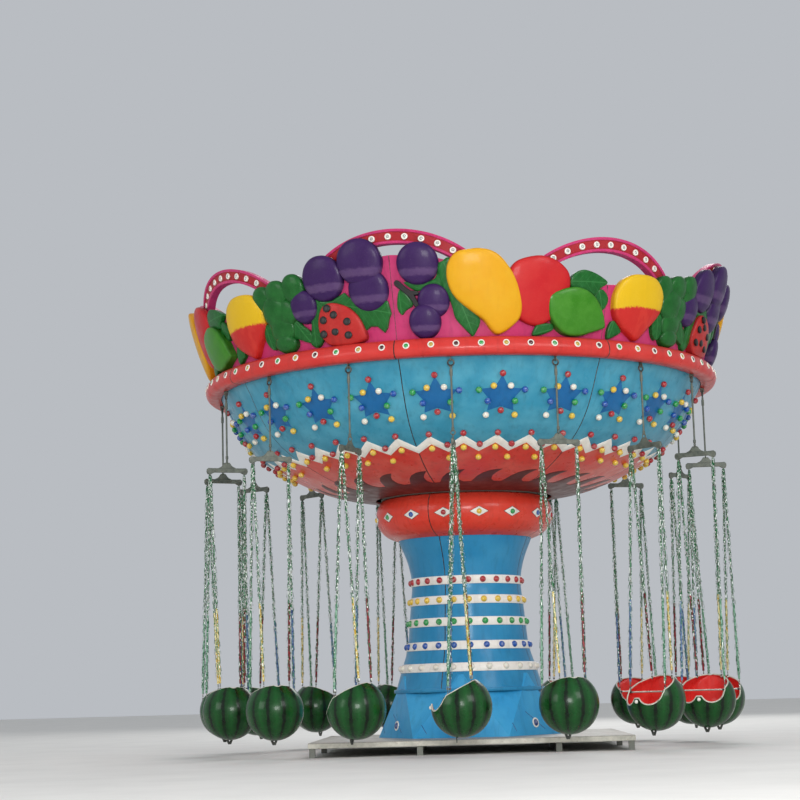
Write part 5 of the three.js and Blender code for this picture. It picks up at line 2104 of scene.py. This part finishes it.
@dataclass
class Gondola:
    """Melon shell with a red seat, cut open at front and top; made once and hung sixteen times.

    Its coordinates start at the shell's middle: y forwards for the rider, z up.
    """

    radius: float = 0.318
    wall: float = 0.016
    mouth: float = 0.192
    slope: float = 0.52
    scoop: Point = (0.135, 0.075, 0.112)
    dip: Pair = (0.33, 0.07)
    seat: float = -0.075
    backrest: float = -0.165
    seat_front: float = 0.06
    bar: Point = (0.248, 0.130, 0.098)
    lugs: tuple[Point, ...] = ((0.246, 0.128, 0.165), (0.140, -0.110, 0.272))
    columns: int = 144
    rows: int = 14
    lobes: int = 8

    def is_cut(self, x: float, y: float, z: float) -> bool:
        """Tell whether the opening takes a point away."""
        if z > self.mouth - self.slope * y:
            return True
        if y < self.backrest + 0.026 and hypot(x, z - self.dip[0]) < self.dip[1]:
            return True
        across, height, reach = self.scoop
        return y > self.bar[1] and hypot(abs(x) - across, z - height) < reach

    def rim_elevation(self, turn: float, radius: float) -> float:
        """Find where a meridian of the shell ends.

        Args:
            turn: Its angle from +x, in radians.
            radius: The surface's radius.

        Returns:
            The elevation, in radians.
        """
        low, step = -0.5 * pi, radians(1.0)
        while not self.is_cut(*self.on_sphere(turn, low + step, radius)):
            low += step
        for _ in range(8):
            step *= 0.5
            if not self.is_cut(*self.on_sphere(turn, low + step, radius)):
                low += step
        return low

    def on_sphere(self, turn: float, elevation: float, radius: float) -> Point:
        """Give a point of a sphere about the shell's middle."""
        flat = radius * cos(elevation)
        return (flat * cos(turn), flat * sin(turn), radius * sin(elevation))

    def lobed(self, turn: float, elevation: float) -> float:
        """Give the outer radius with its shallow lobes."""
        return self.radius - 0.0035 * abs(sin(0.5 * self.lobes * turn)) ** 0.5 * cos(elevation)

    def shell(self) -> Mesh:
        """Make the melon with its liner and the trim on its edge.

        Returns:
            Its mesh.
        """
        form = Form("melon_gelcoat", "seat_red_gelcoat", "cream_steel_paint")
        turns = [2.0 * pi * i / self.columns for i in range(self.columns)]
        inner_radius = self.radius - self.wall
        limits = [(self.rim_elevation(t, self.radius), self.rim_elevation(t, inner_radius)) for t in turns]
        low = -0.5 * pi + 0.02
        outer, inner = [], []
        for row in range(self.rows + 1):
            share = row / self.rows
            for turn, (out_limit, in_limit) in zip(turns, limits):
                up = low + (out_limit - low) * share
                outer.append(self.on_sphere(turn, up, self.lobed(turn, up)))
                inner.append(self.on_sphere(turn, low + (in_limit - low) * share, inner_radius))
        grid = quads(self.rows + 1, self.columns, True)
        form.add(outer, grid, "melon_gelcoat")
        form.add([(0.0, 0.0, -self.radius), *outer[:self.columns]],
                 [(1 + (i + 1) % self.columns, 1 + i, 0) for i in range(self.columns)], "melon_gelcoat")
        form.add(inner, flipped(grid), "seat_red_gelcoat")
        rim = slice(self.rows * self.columns, (self.rows + 1) * self.columns)
        form.add(outer[rim] + inner[rim], quads(2, self.columns, True), "melon_gelcoat")
        middle = [tuple(0.5 * (np.array(a) + np.array(b))) for a, b in zip(outer[rim], inner[rim])]
        tube(form, middle, 0.0085, "cream_steel_paint", 6, True)
        return form.mesh("melon_shell")

    def seat_pan(self) -> Mesh:
        """Make the moulded seat that fills the shell's rear.

        Returns:
            Its mesh.
        """
        form = Form("seat_red_gelcoat")
        reach = self.radius - self.wall - 0.001
        back_top = 0.27
        line = smooth_path([
            (self.backrest + 0.002, back_top), (self.backrest, 0.2), (self.backrest + 0.003, 0.08),
            (self.backrest + 0.006, -0.02), (self.backrest + 0.03, -0.062), (self.backrest + 0.075, -0.074),
            (-0.02, -0.078), (self.seat_front - 0.03, self.seat), (self.seat_front, -0.09),
            (self.seat_front + 0.012, -0.13), (self.seat_front + 0.014, -0.24),
        ], 3)
        columns = 28
        points = []
        for y, z in line:
            width = sqrt(max(reach ** 2 - y ** 2 - z ** 2, 0.0004))
            for i in range(columns + 1):
                x = width * (2.0 * i / columns - 1.0)
                edge = abs(x) / width
                crown = 0.012 * (1.0 - edge ** 4) * (1.0 - 0.8 * exp(-((x / 0.02) ** 2)))
                lift = min(1.0, max(0.0, (back_top - z) / 0.05))
                height, dip = z, self.dip[1] ** 2 - x ** 2
                if dip > 0.0:
                    height = min(z, self.dip[0] - sqrt(dip))
                points.append((x, y + crown * lift * (0.6 if z > -0.05 else 0.1), height))
        form.add(points, quads(len(line), columns + 1))
        rear = [
            (x, self.backrest - 0.03 - 0.1 * max(0.0, 0.2 - z), z) for x, _, z in points[:9 * (columns + 1)]
        ]
        rear = [tuple(np.array(p) * min(1.0, reach / np.linalg.norm(p))) for p in rear]
        form.add(rear, flipped(quads(9, columns + 1)))
        form.add(points[:columns + 1] + rear[:columns + 1], flipped(quads(2, columns + 1)))
        return form.mesh("melon_seat")

    def fittings(self) -> Mesh:
        """Make the lap bar, knob, chain lugs and foot.

        Returns:
            Their mesh.
        """
        form = Form("bright_bar_steel", "black_steel_paint", "lamp_white_ring")
        half, y, z = self.bar
        path = [(half * s, y + 0.012 * (1.0 - s * s), z) for s in np.linspace(-1.0, 1.0, 13)]
        tube(form, path, 0.0085)
        for side in (-1, 1):
            tube(form, [(side * (half - 0.03), y + 0.001, z), (side * (half + 0.002), y, z)], 0.013,
                 "black_steel_paint", 8)
            for x, lug_y, top in self.lugs:
                foot = self.mouth - self.slope * lug_y - 0.02
                strap = mirrored([(0.009, foot - top), (0.009, -0.012), (0.005, -0.002)])
                stand = upright(side * x, lug_y, top)
                plate(form, strap, 0.009, stand, "black_steel_paint")
                button(form, (side * x, lug_y + 0.0045, top - 0.03), (0, 1, 0),
                       [(0.007, 0.0), (0.007, 0.004), (0.0, 0.005)], "bright_bar_steel", 6)
        tip = self.on_sphere(0.5 * pi, self.rim_elevation(0.5 * pi, self.radius), self.radius)
        button(form, (0.0, tip[1] - 0.004, tip[2] - 0.03), (0.0, 1.0, 0.25),
               dome_profile(0.021, 0.018, 0.006), "lamp_white_ring", 16)
        leg = [
            (-0.05, -0.29), (-0.017, -0.365), (0.017, -0.365), (0.05, -0.29), (0.026, -0.29), (0.0, -0.336),
            (-0.026, -0.29),
        ]
        plate(form, leg, 0.012, upright(0.0, 0.06, 0.0), "black_steel_paint", 0.002)
        return form.mesh("melon_fittings")



@dataclass
class Chairs:
    """Sixteen hangers with gondolas, each turned on its swivel as it came to rest."""

    hanger: Hanger = field(default_factory=Hanger)
    gondola: Gondola = field(default_factory=Gondola)
    swivels: tuple[float, ...] = (0, -91, 0, 0, 0, 30, -29, 10, -15, 20, 0, -10, 30, 0, -25, 0)

    def build(self) -> None:
        """Make each mesh once and hang it sixteen times."""
        hanger, gondola = self.hanger, self.gondola
        eye, rod, chains, tinsel = hanger.eye(), hanger.rod(), hanger.chains(), hanger.tinsel()
        shell, seat, fittings = gondola.shell(), gondola.seat_pan(), gondola.fittings()
        for i, (azimuth, swivel) in enumerate(zip(azimuths(CHAIRS, CHAIR_DEG), self.swivels)):
            number = f"{i + 1:02d}"
            axis = Matrix.Translation(polar(azimuth, HANG_RADIUS, 0.0))
            straight = axis @ rotation(azimuth)
            facing = axis @ rotation(azimuth + swivel + 90.0)
            middle = facing @ Matrix.Translation((0.0, 0.0, GONDOLA_HEIGHT))
            hanger_node, gondola_node = (f"hanger_{number}",), (f"gondola_{number}",)
            for name, mesh, slot, nodes, stand in (
                ("hanger_eye", eye, Slot.STEEL, hanger_node, straight),
                ("hanger_rod", rod, Slot.STEEL, hanger_node, facing),
                ("hanger_chains", chains, Slot.STEEL, hanger_node, facing),
                ("chain_tinsel", tinsel, Slot.STEEL, (), facing),
                ("melon_shell", shell, Slot.MELON, gondola_node, middle),
                ("melon_seat", seat, Slot.RED, (), middle),
                ("melon_fittings", fittings, Slot.STEEL, (), middle),
            ):
                set_piece(f"{name}_{number}", mesh, f"chair_{number}", slot, nodes, stand)


@dataclass
class Steelwork:
    """CAD nodes whose shape is right, with a better finish."""

    names: tuple[str, ...] = ("base_frame", "tower_mast", "rotor_frame", "crown_stays")
    finish: str = "frame_steel_paint"

    def build(self) -> None:
        """Dress the nodes."""
        for name in self.names:
            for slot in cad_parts[name].material_slots:
                slot.material = Paint.get(self.finish)
            LOG.info("%s keeps its shape and gets %s", name, self.finish)


def write_sizes(before: object) -> None:
    """Gather the CAD box and the visual model's box as plain lists."""
    boxes = {"cad": before, "visual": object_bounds()}
    plain = {name: np.array(box, float).tolist() for name, box in boxes.items()}


def main() -> None:
    """Build the ride piece by piece."""
    logging.basicConfig(level=logging.INFO, format="%(message)s")
    cad_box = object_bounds()
    studio = Studio()
    studio.camera()
    studio.room()
    for assembly in (Steelwork(), Deck(), Tower(), Saucer(), Crown(), Chairs()):
        assembly.build()
    write_sizes(cad_box)


if __name__ == "__main__":
    main()
